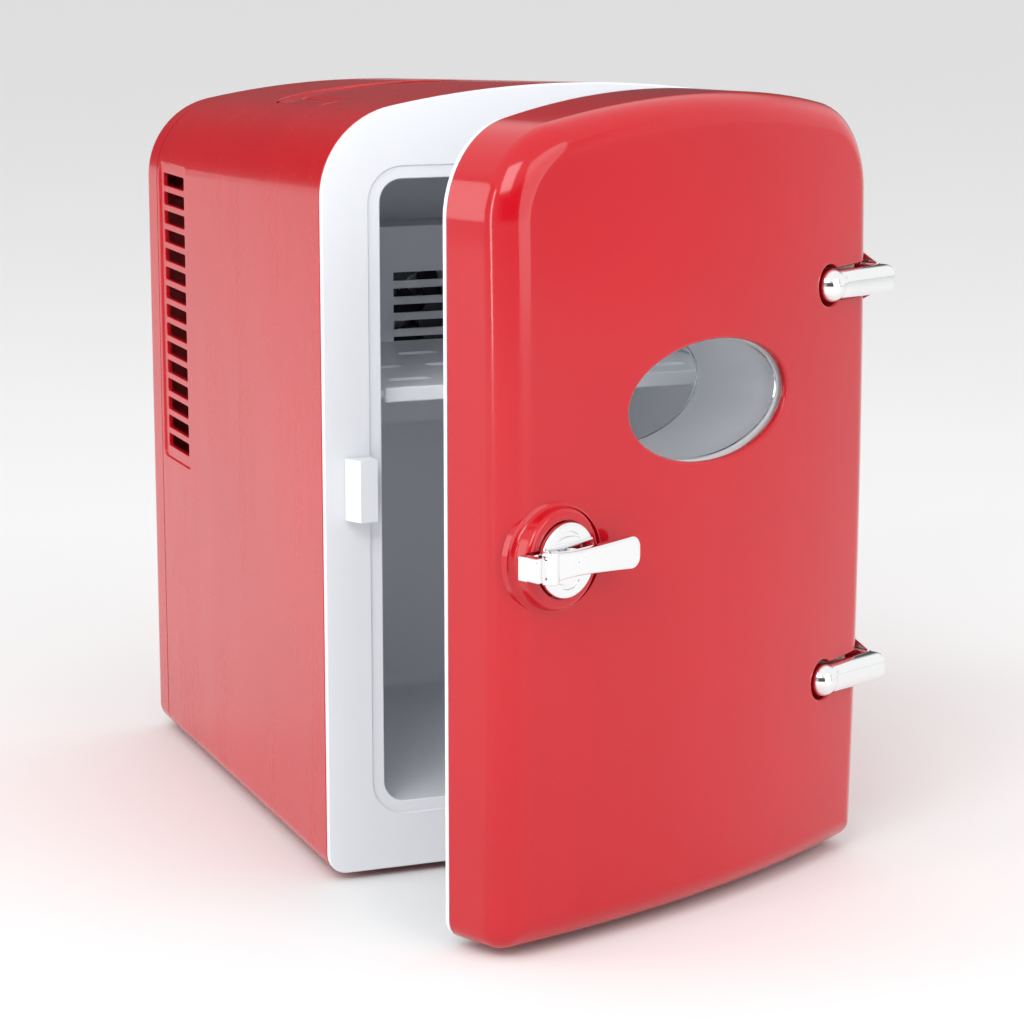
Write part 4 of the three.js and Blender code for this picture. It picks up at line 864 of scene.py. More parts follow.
def edge_shape(inset):
    return lambda grow: outline(inset - grow)


def plug(shrink):
    return lambda grow: opening(-4.5 - shrink + grow)


def keeper_pocket(name, y0, y1):
    x0 = KEEPER_X - KEEPER_HALF - 1.6
    x1 = -OPENING_HALF + 4.2
    z0, z1 = KEEPER_LOW - 1.6, KEEPER_LOW + KEEPER_HEIGHT + 1.6
    return pull(name, lambda grow: rounded_rectangle(x0, x1, z0, z1, 1.2, 3), y0, y1)


def sleeve(wall):
    return lambda grow: ellipse(
        WINDOW_X, WINDOW_Z, WINDOW_HALF_WIDTH + wall + grow, WINDOW_HALF_HEIGHT + wall + grow, 96
    )


liner = pull("door_white_liner", edge_shape(0), SHELL_BACK + GAP, DOOR_BACK, 0, 0.5)
plate = pull("plate", edge_shape(WALL + GAP), LINER_FRONT, DOOR_BACK - 0.5)
rim_room = pull("rim_room", edge_shape(3), LINER_BACK, 1)
carve(liner, [plate], "UNION")
carve(liner, [rim_room])
carve(liner, [pull("plug", plug(0), LINER_FRONT, PLUG_DEPTH, 0, 1.6)], "UNION")
carve(
    liner,
    [
        pull("hollow", plug(2.2), LINER_FRONT - 1, PLUG_DEPTH - 2.2),
        pull("sight", sleeve(2 + GAP), -10, PLUG_DEPTH + 1),
        keeper_pocket("pocket", LINER_FRONT - 1, DOOR_BACK + 0.5),
    ],
)
place(liner, WHITE, ["door_liner"], "door")

seal = pull("door_seal", lambda grow: opening(1.9 + grow), LINER_BACK + GAP, SEAL_BACK, 0, 0.9)
carve(seal, [pull("seal_room", lambda grow: opening(-2.1 + grow), LINER_BACK - 1, 1)])
groove = pull("groove", lambda grow: opening(0.5 + grow), SEAL_BACK - 0.5, 1)
carve(groove, [pull("tongue", lambda grow: opening(-0.5 + grow), SEAL_BACK - 1, 2)])
carve(seal, [groove])
place(seal, SEAL, ["door_gasket"], "door")

SLEEVE_FRONT = door_face(WINDOW_X - WINDOW_HALF_WIDTH - 2, WINDOW_Z) + WALL + 3 * GAP
insert = pull("window_insert", sleeve(2), SLEEVE_FRONT, PLUG_DEPTH, 0.4, 0.8)
carve(insert, [pull("clear_way", sleeve(0), -60, 10)])
place(insert, WHITE, ["window_sleeve"], "door")


def pane(name, front, node):
    made = pull(name, sleeve(-GAP), front, front + 2, 0.4, 0.4)
    return place(made, PANE, [node], "door")


pane("window_front_pane", SLEEVE_FRONT + GAP, "window_pane_outer")
pane("window_back_pane", PLUG_DEPTH - 2 - GAP, "window_pane_inner")

# %% [markdown]
# ## The latch
#
# A round chrome plate carries a lug at its left end, and on the lug's pin swings a waisted
# lever. Its free end is a little taller and has rounded corners. The plate has a low step that
# runs beside the lever, and two crescent-shaped grooves that echo its rim. Every edge is rounded,
# because a plated edge always shows a bright line of light.

# %% Latch plate and lever
CRESCENT_RADIUS = 7.6
plate_level = lambda x, z: PLATE_FRONT


def crescent(side):
    """A groove in the shape of a short arc, as a cutting tool."""
    middle = LATCH_Z + side * 1.2
    turns = [math.radians(side * (50 + 80 * i / 14)) for i in range(15)]
    widths = [0.15 + 0.75 * math.sin(math.pi * i / 14) for i in range(15)]

    def shape(grow):
        outer = [(CRESCENT_RADIUS + w + grow, t) for t, w in zip(turns, widths)]
        inner = [(CRESCENT_RADIUS - w - grow, t) for t, w in zip(turns, widths)]
        return [
            (LATCH_X + reach * math.cos(t), middle + reach * math.sin(t))
            for reach, t in outer + inner[::-1]
        ]

    return sink("crescent", shape, plate_level, 0.75, 0.15, 0.3)


latch_plate = pull("latch_round_plate", disc(PLATE_RADIUS), PLATE_FRONT, PLATE_BACK, 0.9, 0.2)
step_shape = lambda grow: rounded_rectangle(
    LATCH_X - 11 - grow, LATCH_X + 11 + grow, LATCH_Z - 5.4 - grow, LATCH_Z + 6.3 + grow, 0.6
)
lug_foot = lambda grow: rounded_rectangle(
    PIN_X - 8 - grow, LATCH_X + grow, LATCH_Z - LUG_HALF - grow, LATCH_Z + LUG_HALF + grow, 1.0
)
lug_block = lambda grow: rounded_rectangle(
    PIN_X - 8 - grow, PIN_X - 3.5 + grow, LATCH_Z - LUG_HALF - grow, LATCH_Z + LUG_HALF + grow, 1.4
)
lug_hub = lambda grow: rounded_rectangle(
    PIN_X - 4 - grow, PIN_X + 1.6 + grow, LATCH_Z - 2.9 - grow, LATCH_Z + 2.9 + grow, 0.5
)
carve(
    latch_plate,
    [
        pull("step", step_shape, PLATE_FRONT - 0.25, PLATE_FRONT + 0.5, 0.2),
        pull("foot", lug_foot, PLATE_FRONT + 0.05, PLATE_BACK, 0.4),
        pull("block", lug_block, PIN_Y - 1.6, PLATE_BACK, 0.9),
        pull("hub", lug_hub, PIN_Y - 1.1, PLATE_FRONT + 1, 0.5),
    ],
    "UNION",
)
carve(latch_plate, [crescent(1), crescent(-1)])
place(latch_plate, CHROME, ["latch_plate", "latch_spring"], "door")

LEVER_LEFT = PIN_X - 2.9 + 0.4
LEVER_RIGHT = LEVER_LEFT + 42
LEVER_TILT = math.radians(-3)


def lever_shape(grow):
    """The lever from the front: tall at the pin, waisted, and taller again at its free end."""
    right = LEVER_RIGHT + grow
    steps = 26
    corner = 3.6

    def half_height(s):
        waist = 4.15
        left = 5.3 - waist
        free = 5.5 - waist
        return waist + left * max(0, 1 - s / 0.42) ** 2 + free * max(0, (s - 0.35) / 0.65) ** 1.3

    left_end = LEVER_LEFT - grow
    xs = [left_end + (right - corner - LEVER_LEFT + grow) * i / steps for i in range(steps)]
    rises = [half_height(i / steps) + grow for i in range(steps)]
    top = half_height(1) + grow
    rounded = arc(right - corner, LATCH_Z + top - corner, corner, math.pi / 2, 0, 6)
    lower = arc(right - corner, LATCH_Z - top + corner, corner, -math.pi / 2, 0, 6)
    front = [(x, LATCH_Z - rise) for x, rise in zip(xs, rises)]
    back = [(x, LATCH_Z + rise) for x, rise in zip(xs, rises)]
    return [*front, *lower, (right, LATCH_Z - top + corner), (right, LATCH_Z + top - corner),
            *rounded[::-1], *back[::-1]]


def turned(made, x, y, angle):
    """Turn a drawing about an upright line."""
    pivot = Matrix.Translation((x, y, 0))
    made.data.transform(pivot @ Matrix.Rotation(angle, 4, "Z") @ Matrix.Translation((-x, -y, 0)))


lever = pull("latch_chrome_lever", lever_shape, PIN_Y - 1.5, PIN_Y + 1.5, 0.85, 0.4)
middle_boss = lambda grow: ellipse(LATCH_X + 1, LATCH_Z, 2.1 + grow, 2.1 + grow, 28)
carve(lever, [pull("boss", middle_boss, PIN_Y - 1.72, PIN_Y, 0.2)], "UNION")
turned(lever, PIN_X, PIN_Y, LEVER_TILT)


def upright_rod(name, x, y, radius, z0, z1, edge=0.4, steps=32):
    """A rod that stands upright, with rounded ends."""
    rings = []
    for grow, level in eased(z0, z1, edge, edge, 4):
        circle = ellipse(x, y, radius + grow, radius + grow, steps)
        rings.append([(px, py, level) for px, py in circle])
    return skin(name, rings)


ears = upright_rod("ears", PIN_X, PIN_Y, 2.9, LATCH_Z - 5.3, LATCH_Z + 5.3)
carve(lever, [ears], "UNION")
hub_room = lambda grow: rounded_rectangle(
    PIN_X - 6, PIN_X + 3.5, LATCH_Z - 3.2, LATCH_Z + 3.2, 0.3, 2
)
carve(lever, [pull("hub_room", hub_room, PIN_Y - 1.0, PIN_Y + 6)])
place(lever, CHROME, ["latch_lever"], "latch_lever", 40)

# %% [markdown]
# ## Hinge arms
#
# Each arm is one chrome-plated casting: a ball that rests in the dimple, a barrel that runs to
# the door's edge, and a strap that turns back along its side and flares out to the hinge pin.
# A casting has soft transitions everywhere, so the parts are joined and then remeshed on a fine
# grid and smoothed, which rounds all the inner corners like the real tool does.


# %% Arms
PIN_RADIUS = 1.7
HINGE_X = HALF + 4
HINGE_Y = -5
KNUCKLE_RADIUS = 3.6
BALL_RADIUS = 6


def squircle(y, z, radius, squareness, steps=48):
    """A circle whose sides are flattened as the squareness rises over 2."""
    points = []
    for i in range(steps):
        turn = 2 * math.pi * i / steps
        c, s = math.cos(turn), math.sin(turn)
        reach = radius / (abs(c) ** squareness + abs(s) ** squareness) ** (1 / squareness)
        points.append((y + reach * c, z + reach * s))
    return points


def sideways(name, sections):
    """A skin over sections at growing x; each is (x, points of y and z)."""
    return skin(name, [[(x, y, z) for y, z in points] for x, points in sections])


ARM_DEPTH = 0.6
NECK_RADIUS = 4.5
BARREL_RADIUS = 5.1
BARREL_ROUND = 1.6


def hinge_arm(index, height):
    y = door_face(ARM_START_X, height) + ARM_DEPTH
    outside = HALF + 1.5
    inside = HALF + 0.3
    strap_end = HINGE_Y - KNUCKLE_RADIUS - 1
    ball = []
    for i in range(1, 24):
        turn = math.pi * i / 24
        reach = BALL_RADIUS * math.sin(turn)
        ball.append((ARM_START_X - BALL_RADIUS * math.cos(turn), squircle(y, height, reach, 2)))
    barrel = [
        (ARM_START_X + 1, squircle(y, height, NECK_RADIUS, 2.6)),
        (ARM_START_X + 4.2, squircle(y, height, BARREL_RADIUS, 3.0)),
    ]
    for turn in quarter(6)[::-1]:
        grow = -BARREL_ROUND * (1 - math.sin(turn))
        end = outside - BARREL_ROUND * (1 - math.cos(turn))
        barrel.append((end, squircle(y, height, BARREL_RADIUS + grow, 3.0)))
    arm = sideways(f"hinge_arm_cast_{index}", ball)
    bend = [
        (HALF - 8, y), (outside, y - 3), (outside, strap_end), (inside, strap_end),
        (inside, -DOOR_EDGE + DOOR_ROUND - 2.5), (HALF - 1, -DOOR_EDGE + 1),
        (HALF - 5, -DOOR_EDGE - 4.2),
    ]
    bend_rings = [[(px, py, level) for px, py in bend] for level in (height - 4.5, height + 4.5)]
    flare = [
        (y + 2, height - 4.8), (-23, height - 9.6), (strap_end, height - 9.6),
        (strap_end, height + 9.6), (-23, height + 9.6), (y + 2, height + 4.8),
    ]
    bridge = [
        (strap_end - 1, height - 4), (HINGE_Y, height - 4),
        (HINGE_Y, height + 4), (strap_end - 1, height + 4),
    ]
    pieces = [
        sideways("barrel", barrel),
        skin("bend", bend_rings),
        sideways("flare", [(inside, flare), (outside, flare)]),
        upright_rod("knuckle", HINGE_X, HINGE_Y, KNUCKLE_RADIUS, height - 4, height + 4, 0.3),
        sideways("bridge", [(inside, bridge), (HINGE_X, bridge)]),
    ]
    carve(arm, pieces, "UNION")
    remesh = arm.modifiers.new("grid", "REMESH")
    remesh.mode = "VOXEL"
    remesh.voxel_size = 0.32
    smooth = arm.modifiers.new("smooth", "SMOOTH")
    smooth.factor = 0.5
    smooth.iterations = 5
    bake_modifiers(arm)
    bore = upright_rod("bore", HINGE_X, HINGE_Y, PIN_RADIUS + 0.1, height - 12, height + 12, 0.1)
    carve(arm, [bore])
    place(arm, CHROME, [f"hinge_arm_{index}"], "door", 60)


for number, level in enumerate(HINGE_HEIGHTS, 1):
    hinge_arm(number, level)

# %% [markdown]
# ## The cabinet's shell
#
# The body is a tube with the cabinet's outline, whose crown falls by 11 mm towards the back.
# Cutting tools make the rest: a shallow panel with a ladder of slots in each side, and a well in
# the top that takes the carrying handle. The well's tools follow the arch, so its floor is
# equally deep everywhere.


# %% Shell tube and side vents
def fall(y):
    return TOP_FALL * y / DEPTH


def cabinet_ring(inset, y):
    return [(x, y, z) for x, z in outline(inset, fall(y))]


def tube(name, inset, y0, y1, rounding=0.0):
    """A block with the cabinet's outline between two depths."""
    levels = eased(y0, y1, rounding, rounding, 4)
    return skin(name, [cabinet_ring(inset - grow, y) for grow, y in levels])


SHELL_START = FRAME_THICKNESS + GAP
cabinet_shell = tube("cabinet_red_shell", 0, SHELL_START, SHELL_END, 0.5)
carve(cabinet_shell, [tube("inside", WALL, SHELL_START - 1, SHELL_END + 1)])

VENT_COUNT = 15
VENT_PITCH = 7.65
VENT_HEIGHT = 5
VENT_FROM, VENT_TO = 178, 208
VENT_TOP = UNDERSIDE + 234.6
VENT_MARGIN = 4.6


def side_sink(name, shape, side, start, depth, lip, bottom=0.0):
    """A tool that cuts into a side wall and leaves a rounded lip."""
    levels = [(lip, -2.0), *flared(lip, 4), *cupped(depth, bottom, 4)]
    sections = [(side * (HALF - start - inward), shape(grow)) for grow, inward in levels]
    return sideways(name, sections)


def vents(side):
    bottom = VENT_TOP - (VENT_COUNT - 1) * VENT_PITCH - VENT_HEIGHT
    panel = lambda grow: rounded_rectangle(
        VENT_FROM - VENT_MARGIN - grow, VENT_TO + VENT_MARGIN + grow,
        bottom - VENT_MARGIN - grow, VENT_TOP + VENT_MARGIN + grow, 2.5 + grow,
    )
    tools = [side_sink("vent_panel", panel, side, 0, 0.7, 0.5, 0.2)]
    for i in range(VENT_COUNT):
        top = VENT_TOP - i * VENT_PITCH
        slot = lambda grow, top=top: rounded_rectangle(
            VENT_FROM - grow, VENT_TO + grow, top - VENT_HEIGHT - grow, top + grow, 0.8 + grow, 3
        )
        tools.append(side_sink("vent_slot", slot, side, 0.7, 4.5, 0.35))
    return tools


carve(cabinet_shell, [*vents(-1), *vents(1)])
print(f"{2 * VENT_COUNT} vent slots")

# %% [markdown]
# ## The handle and its well
#
# The handle is a U that lies flush in the top and turns up on two pins at the ends of its legs.
# In front of its bar a finger notch lets a hand reach under it.

# %% Handle well and handle
HANDLE_HALF = 70
HANDLE_LEG = 8
HANDLE_THICKNESS = 6
PIVOT_Y = 73.4
LEG_END = 3.3
LEG_END_ROOM = 1.4
HANDLE_BACK = 147
HANDLE_BAR_FRONT = HANDLE_BACK - 25
WELL_DEPTH = 9.4
FINGER_HALF = 24


def crown_at(x, y):
    """Height of the cabinet's top over the floor."""
    return CROWN_TOP - fall(y) - CROWN + math.sqrt(CROWN**2 - x**2)


def handle_plan(grow, inner=None, front=PIVOT_Y - LEG_END):
    """The U of the handle from above."""
    inner = grow if inner is None else inner
    outer_x = HANDLE_HALF + grow
    inner_x = HANDLE_HALF - HANDLE_LEG - inner
    rear, bar, start = HANDLE_BACK + grow, HANDLE_BAR_FRONT - grow, front - grow
    radius = 26 + grow
    notch = 3.0
    return [
        *line((-outer_x, start), (-inner_x, start), 3),
        *line((-inner_x, start), (-inner_x, bar - notch), 12),
        *arc(-inner_x + notch, bar - notch, notch, math.pi, math.pi / 2, 4),
        *line((-inner_x + notch, bar), (inner_x - notch, bar), 16),
        *arc(inner_x - notch, bar - notch, notch, math.pi / 2, 0, 4),
        *line((inner_x, bar - notch), (inner_x, start), 12),
        *line((inner_x, start), (outer_x, start), 3),
        *line((outer_x, start), (outer_x, rear - radius), 12),
        *arc(outer_x - radius, rear - radius, radius, 0, math.pi / 2, 16),
        *line((outer_x - radius, rear), (-outer_x + radius, rear), 16),
        *arc(-outer_x + radius, rear - radius, radius, math.pi / 2, math.pi, 16),
        *line((-outer_x, rear - radius), (-outer_x, start), 12),
    ]


def finger_plan(grow):
    front, back = HANDLE_BAR_FRONT - 12, HANDLE_BAR_FRONT + 2
    return rounded_rectangle(-FINGER_HALF - grow, FINGER_HALF + grow, front - grow, back, 3)


def from_top(name, plan, levels):
    """A solid under the top; each level is how much the plan grows and how deep it lies."""
    rings = [[(x, y, crown_at(x, y) - deep) for x, y in plan(grow)] for grow, deep in levels]
    return skin(name, rings)


def lip_levels(lip, depth):
    return [(lip, -3.0), *flared(lip, 4), (0, depth)]


WELL_FRONT = PIVOT_Y - LEG_END - LEG_END_ROOM
well_plan = lambda grow: handle_plan(0.7 + grow, 2 + grow, WELL_FRONT)
tray_plan = lambda grow: handle_plan(3.1, 4.4, WELL_FRONT)
tray_levels = [(0, 1.2), (0, WELL_DEPTH + WALL)]
tray = from_top("tray", tray_plan, tray_levels)
finger_tray = from_top("finger_tray", lambda grow: finger_plan(WALL), tray_levels)
carve(cabinet_shell, [tray, finger_tray], "UNION")
carve(
    cabinet_shell,
    [
        from_top("well", well_plan, lip_levels(0.5, WELL_DEPTH)),
        from_top("finger_well", finger_plan, lip_levels(0.5, WELL_DEPTH)),
    ],
)
place(cabinet_shell, CABINET_RED, ["cabinet_shell"])

handle_levels = eased(GAP, HANDLE_THICKNESS, 0.8, 0.5, 4)
handle = from_top("carrying_handle", lambda grow: handle_plan(grow, None, PIVOT_Y), handle_levels)
pin_z = crown_at(HANDLE_HALF, PIVOT_Y) - 3.6
ends = [
    sideways(
        "leg_end",
        [
            (side * x, squircle(PIVOT_Y, pin_z, LEG_END, 2, 36))
            for x in (HANDLE_HALF - HANDLE_LEG, HANDLE_HALF)
        ],
    )
    for side in (-1, 1)
]
carve(handle, ends, "UNION")
bores = [
    sideways("bore", [(side * x, squircle(PIVOT_Y, pin_z, 1.75, 2, 32)) for x in (55, 75)])
    for side in (-1, 1)
]
carve(handle, bores)
place(handle, CABINET_RED, ["carry_handle"], "carry_handle")

# %% [markdown]
# ## Front frame, chamber and shelf
#
# The white frame is a flat plate with a rounded rim. Round the opening a border is sunk a
# little, and the opening's own edge is rounded into the chamber. The chamber is a
# vacuum-formed tub whose back edge is rounded, with two pairs of rails for the shelf.

# %% Frame, chamber, shelf and keeper
front_level = lambda x, z: 0
white_frame = tube("front_white_frame", 0, 0, FRAME_THICKNESS, 0.7)
carve(
    white_frame,
    [
        sink("border", lambda grow: opening(4.5 + grow), front_level, 0.6, 0.35, 0.2),
        sink("chamber_way", opening, lambda x, z: 0.6, 4, 0.5),
    ],
)
place(white_frame, WHITE, ["front_frame"])

CHAMBER_DEPTH = 158
LINER_WALL = 1.6
tub = lambda grow: opening(LINER_WALL + grow)
chamber = pull("chamber_tub", tub, SHELL_START, CHAMBER_DEPTH + LINER_WALL)
carve(chamber, [pull("room", opening, 0, CHAMBER_DEPTH, 0, 6)])
SHELF_TOP = UNDERSIDE + 172.7
SHELF_LOW = SHELF_TOP - 2.6
rails = []
for side in (-1, 1):
    wall, edge = side * (OPENING_HALF + 0.8), side * (OPENING_HALF - 3.4)
    for low, high in ((SHELF_LOW - 2.8, SHELF_LOW - 0.4), (SHELF_TOP + 0.4, SHELF_TOP + 2.8)):
        rail = lambda grow, low=low, high=high: rounded_rectangle(
            min(wall, edge) - grow, max(wall, edge) + grow, low - grow, high + grow, 0.6 + grow, 3
        )
        rails.append(pull("rail", rail, 12, 131, 0.5, 0.5))
carve(chamber, rails, "UNION")
throat = lambda grow: rounded_rectangle(-20.3, 20.3, COOLER_Z - 20.3, COOLER_Z + 20.3, 0.5, 2)
carve(chamber, [pull("throat", throat, CHAMBER_DEPTH - 1, CHAMBER_DEPTH + 3)])
place(chamber, LINER, ["inner_liner"])

SHELF_HALF = OPENING_HALF - 0.6
LIP_HALF = OPENING_HALF - 4.4
LIP_LOW = SHELF_TOP - 4.1
LIP_HEIGHT = 5.3
SHELF_FRONT, SHELF_BACK = 11, 127
shelf_plate = lambda grow: rounded_rectangle(
    -SHELF_HALF - grow, SHELF_HALF + grow, SHELF_FRONT - grow, SHELF_BACK + grow, 3
)
plate_levels = eased(SHELF_LOW, SHELF_TOP, 0.5, 0.5, 3)


def flat(name, plan, levels):
    """A solid over a plan of x and y; each level is how much it grows and its height."""
    return skin(name, [[(x, y, z) for x, y in plan(grow)] for grow, z in levels])


shelf = flat("white_shelf", shelf_plate, plate_levels)
lip_shape = lambda grow: rounded_rectangle(
    -LIP_HALF - grow, LIP_HALF + grow, LIP_LOW - grow, LIP_LOW + LIP_HEIGHT + grow, 1
)
carve(shelf, [pull("lip", lip_shape, 9, 11.6, 0.7, 0.3)], "UNION")
slot_levels = [
    (0, SHELF_LOW - 1), (0, SHELF_TOP - 0.4), (0.12, SHELF_TOP - 0.12),
    (0.5, SHELF_TOP + 0.02), (0.5, SHELF_TOP + 1),
]
shelf_slots = []
for row in range(3):
    for column in range(5):
        x, y = (column - 2) * 25, 31 + row * 30
        slot = lambda grow, x=x, y=y: rounded_rectangle(
            x - 8 - grow, x + 8 + grow, y - grow, y + 6 + grow, 2.9 + grow
        )
        shelf_slots.append(flat("slot", slot, slot_levels))
carve(shelf, shelf_slots)
place(shelf, WHITE, ["shelf"], "shelf")



def upright_block(name, plan, low, high):
    """A block with a plan of x and y between two heights."""
    return skin(name, [[(x, y, z) for x, y in plan] for z in (low, high)])


keeper_plan = [
    (KEEPER_X - KEEPER_HALF, -GAP), (KEEPER_X - KEEPER_HALF, -2.5), (KEEPER_X - 1.6, -8),
    (KEEPER_X + KEEPER_HALF, -8), (KEEPER_X + KEEPER_HALF, -GAP),
]
keeper = upright_block("latch_keeper_block", keeper_plan, KEEPER_LOW, KEEPER_LOW + KEEPER_HEIGHT)
notch_plan = [
    (KEEPER_X + 1.8, -6.4), (KEEPER_X + 6, -6.4), (KEEPER_X + 6, -1.2), (KEEPER_X + 1.8, -1.2),
]
carve(keeper, [upright_block("notch", notch_plan, LATCH_Z - 3.5, LATCH_Z + 9)])
soften(keeper, 0.55, 3)
place(keeper, WHITE, ["latch_keeper"])

# %% [markdown]
# ## The rear cover
#
# A shallow pan with a generous rounding closes the back. It has a round grille of slots before
# the fan, four sunk screws and three openings for the mains inlet, the low-voltage inlet and the
# switch.

# %% Rear cover
REAR_ROUND = 8
GRILLE_SLOTS = 9
GRILLE_PITCH = 7.6
GRILLE_RADIUS = 37.6


def rear_skin(name, inset, y0, y1):
    rounding = REAR_ROUND - inset
    rings = [cabinet_ring(inset, y0)]
    for turn in quarter(8):
        y = y1 - rounding + rounding * math.sin(turn)
        rings.append(cabinet_ring(inset + rounding * (1 - math.cos(turn)), y))
    return skin(name, rings)


rear = rear_skin("rear_red_cover", 0, SHELL_END + GAP, DEPTH)
carve(rear, [rear_skin("inside", WALL, SHELL_END, DEPTH - WALL)])
rear_level = lambda x, z: DEPTH
BOSSES = [(side * (HALF - 14), UNDERSIDE + z) for side in (-1, 1) for z in (38, 226)]
FITTING_Z = UNDERSIDE + 34


def round_shape(x, z, radius):
    return lambda grow: ellipse(x, z, radius + grow, radius + grow, 36)


def block_shape(x, z, half_width, half_height):
    def shape(grow):
        wide, tall = half_width + grow, half_height + grow
        return rounded_rectangle(x - wide, x + wide, z - tall, z + tall, 0.4, 2)

    return shape


rear_columns = [
    pull("column", round_shape(x, z, 4.4), SHELL_END + GAP, DEPTH - 1) for x, z in BOSSES
]
carve(rear, rear_columns, "UNION")
rear_tools = []
for i in range(GRILLE_SLOTS):
    offset = (i - GRILLE_SLOTS // 2) * GRILLE_PITCH
    reach = math.sqrt(GRILLE_RADIUS**2 - offset**2)
    slot = lambda grow, reach=reach, z=COOLER_Z + offset: rounded_rectangle(
        -reach - grow, reach + grow, z - 2.2 - grow, z + 2.2 + grow, 2.1 + grow
    )
    rear_tools.append(sink("slot", slot, rear_level, 4, 0.5, 0, -1))
for x, z in BOSSES:
    rear_tools.append(sink("screw_seat", round_shape(x, z, 3.3), rear_level, 1.9, 0.3, 0, -1))
    rear_tools.append(pull("screw_way", round_shape(x, z, 1.8), SHELL_END, DEPTH + 1))
rear_tools += [
    sink("mains_way", block_shape(-42, FITTING_Z, 11.3, 6.8), rear_level, 4, 0.3, 0, -1),
    sink("low_voltage_way", round_shape(0, FITTING_Z, 6.8), rear_level, 4, 0.3, 0, -1),
    sink("switch_way", block_shape(42, FITTING_Z, 10.3, 6.3), rear_level, 4, 0.3, 0, -1),
]
carve(rear, rear_tools)
place(rear, CABINET_RED, ["rear_cover"])

# %% [markdown]
# ## Pieces that keep their shape
#
# Fans, sinks, screws, feet, sockets and pins already have the right shape in the mechanical
# model. They keep it and only get a finish, and a bevel modifier takes a trace off their edges.

# %% Finishes for the carried-over nodes
CARRIED = {
    "chamber_grille": LINER,
    "latch_hook": WHITE,
    "cabinet_insulation": FOAM,
    "door_insulation": FOAM,
    "cold_sink": ALUMINIUM,
    "cold_block": ALUMINIUM,
    "heat_sink": ALUMINIUM,
    "cooling_module": CERAMIC,
    "control_board": BOARD,
}
BY_START = {
    "chamber_fan": BLACK,
    "exhaust_fan": BLACK,
    "mains_socket": BLACK,
    "dc_socket": BLACK,
    "switch_": BLACK,
    "foot_": RUBBER,
    "hinge_leaf": CHROME,
    "hinge_pin": STEEL,
    "hinge_screw": STEEL,
    "handle_pin": STEEL,
    "fan_screw": STEEL,
    "cover_screw": STEEL,
    "latch_pin": STEEL,
}
ROUNDED_EDGE = {FOAM: 0.0, BOARD: 0.0, CERAMIC: 0.0, LINER: 0.5, CHROME: 0.3}
finished = 0
for name, node in nodes.items():
    if node.hide_render:
        continue
    finish = CARRIED.get(name) or next(f for start, f in BY_START.items() if name.startswith(start))
    node.data.materials.clear()
    node.data.materials.append(finish)
    shade(node, 30)
    edge = ROUNDED_EDGE.get(finish, 0.15)
    if edge:
        rounding = node.modifiers.new("rounding", "BEVEL")
        rounding.width = edge * MM
        rounding.segments = 2
        rounding.limit_method = "ANGLE"
        rounding.angle_limit = math.radians(40)
    finished += 1
print(f"{finished} nodes keep their shape")

# %% [markdown]
# ## Stage and light
#
# The fridge stands on a pale floor in a pale surround, as in a white studio. Soft lamps give the
# long calm highlights that gloss needs: a key lamp from the left and above, a large one in front,
# one at the left side, and a narrow strip that draws a bright line along the door's rounded edge.
# The surround is bright overhead and at both sides and dim in between, because chrome and gloss
# need something dark to mirror as well.


# %% Floor, surround and lamps
def floor_material():
    finish = Finish("pale_floor", (0.84, 0.84, 0.84), 0.6)
    finish.set(**{"Roughness": 0.55 + finish.noise(6.0) * 0.1})
    return finish.material


FLOOR_HALF = 15  # metres
quadrants = ((-1, -1), (1, -1), (1, 1), (-1, 1))
floor_corners = [(x * FLOOR_HALF, y * FLOOR_HALF, 0) for x, y in quadrants]
floor = mesh_object("floor", floor_corners, [(0, 1, 2, 3)])
floor.data.materials.append(floor_material())
floor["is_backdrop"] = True

world = bpy.data.worlds.new("white_studio")
scene.world = world
world.use_nodes = True
surround = Network(world.node_tree)
background = surround.nodes["Background"]
direction = surround.node("ShaderNodeTexCoord", output="Generated")


def glow(axis, low, high):
    """From 0 to 1 as the direction turns from low to high along an axis."""
    part = surround.node("ShaderNodeSeparateXYZ", {}, {"Vector": direction}, output=axis)
    return surround.node(
        "ShaderNodeMapRange",
        {"interpolation_type": "SMOOTHSTEP", "clamp": True},
        {"Value": part, "From Min": low, "From Max": high},
    )


def either(first, second):
    """The larger of two values."""
    return surround.node("ShaderNodeMath", {"operation": "MAXIMUM"}, {0: first, 1: second})


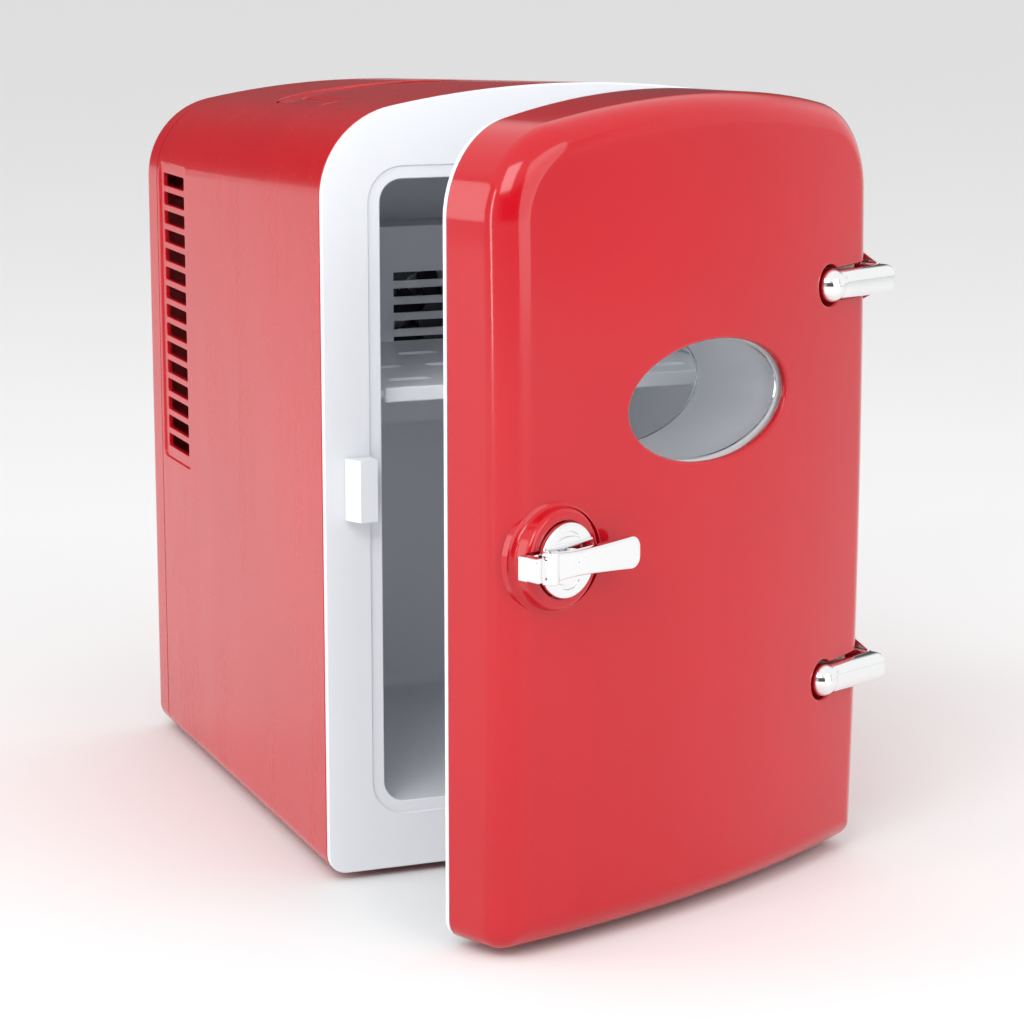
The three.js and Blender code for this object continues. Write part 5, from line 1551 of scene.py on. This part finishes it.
SURROUND_DIM = 0.1
SURROUND_GAIN = 0.95
LEFT_SHARE = 0.7
panels = either(glow("Z", 0.3, 0.6), glow("X", 0.5, 0.85))
panels = either(panels, glow("X", -0.6, -0.95) * LEFT_SHARE)
surround.feed(background.inputs["Strength"], SURROUND_DIM + panels * SURROUND_GAIN)
background.inputs["Color"].default_value = (1.0, 1.0, 1.0, 1.0)


def lamp(name, place_at, aim_at, width, height, power):
    """A soft rectangular lamp that looks at a point; metres and watts."""
    light = bpy.data.lights.new(name, "AREA")
    light.shape = "RECTANGLE"
    light.size, light.size_y = width, height
    light.energy = power
    made = bpy.data.objects.new(name, light)
    made.location = place_at
    made.rotation_euler = (Vector(aim_at) - Vector(place_at)).to_track_quat("-Z", "Y").to_euler()
    scene.collection.objects.link(made)


centre = Vector((0, 0, CROWN_TOP / 2 * MM))
lamp("key", (-1.1, -1.2, 1.5), centre, 1.0, 1.0, 15)
lamp("front", (0.75, -1.9, 0.8), centre, 1.5, 2.0, 20)
lamp("side", (-2.0, 0.7, 0.7), centre, 1.0, 1.2, 9)
lamp("strip", (-1.5, -0.5, 0.4), centre, 0.12, 1.2, 4)
print("stage and lamps ready")

# %% [markdown]
# ## Camera
#
# The camera stands about a metre in front of the fridge, to its left and a little above its
# top, and looks slightly down. A long lens keeps the upright lines nearly parallel.

# %% Camera
CAMERA_BACK = 0.9957
CAMERA_LEFT = 0.4180
CAMERA_HEIGHT = 0.3459
CAMERA_YAW = 21.61
CAMERA_PITCH = 11.36
LENS = 107.1
view_from = bpy.data.cameras.new("view")
view_from.lens = LENS
view_from.sensor_width = 36
camera = bpy.data.objects.new("view", view_from)
camera.location = (MIDDLE_X - CAMERA_LEFT, FRONT_Y - CAMERA_BACK, CAMERA_HEIGHT)
camera.rotation_euler = (math.radians(90 - CAMERA_PITCH), 0, math.radians(-CAMERA_YAW))
scene.collection.objects.link(camera)
scene.camera = camera
scene.view_settings.view_transform = "Standard"
print("camera at", [round(part, 3) for part in camera.location])

# %% [markdown]
# ## Check and finish
#
# The box of the dressed model is set beside that of the mechanical one, and the largest
# difference between them is printed.

# %% Sizes and finish
seen_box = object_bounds()
difference = max((a - b).length for a, b in zip(cad_box, seen_box)) / MM
print("largest difference in mm:", round(difference, 3))
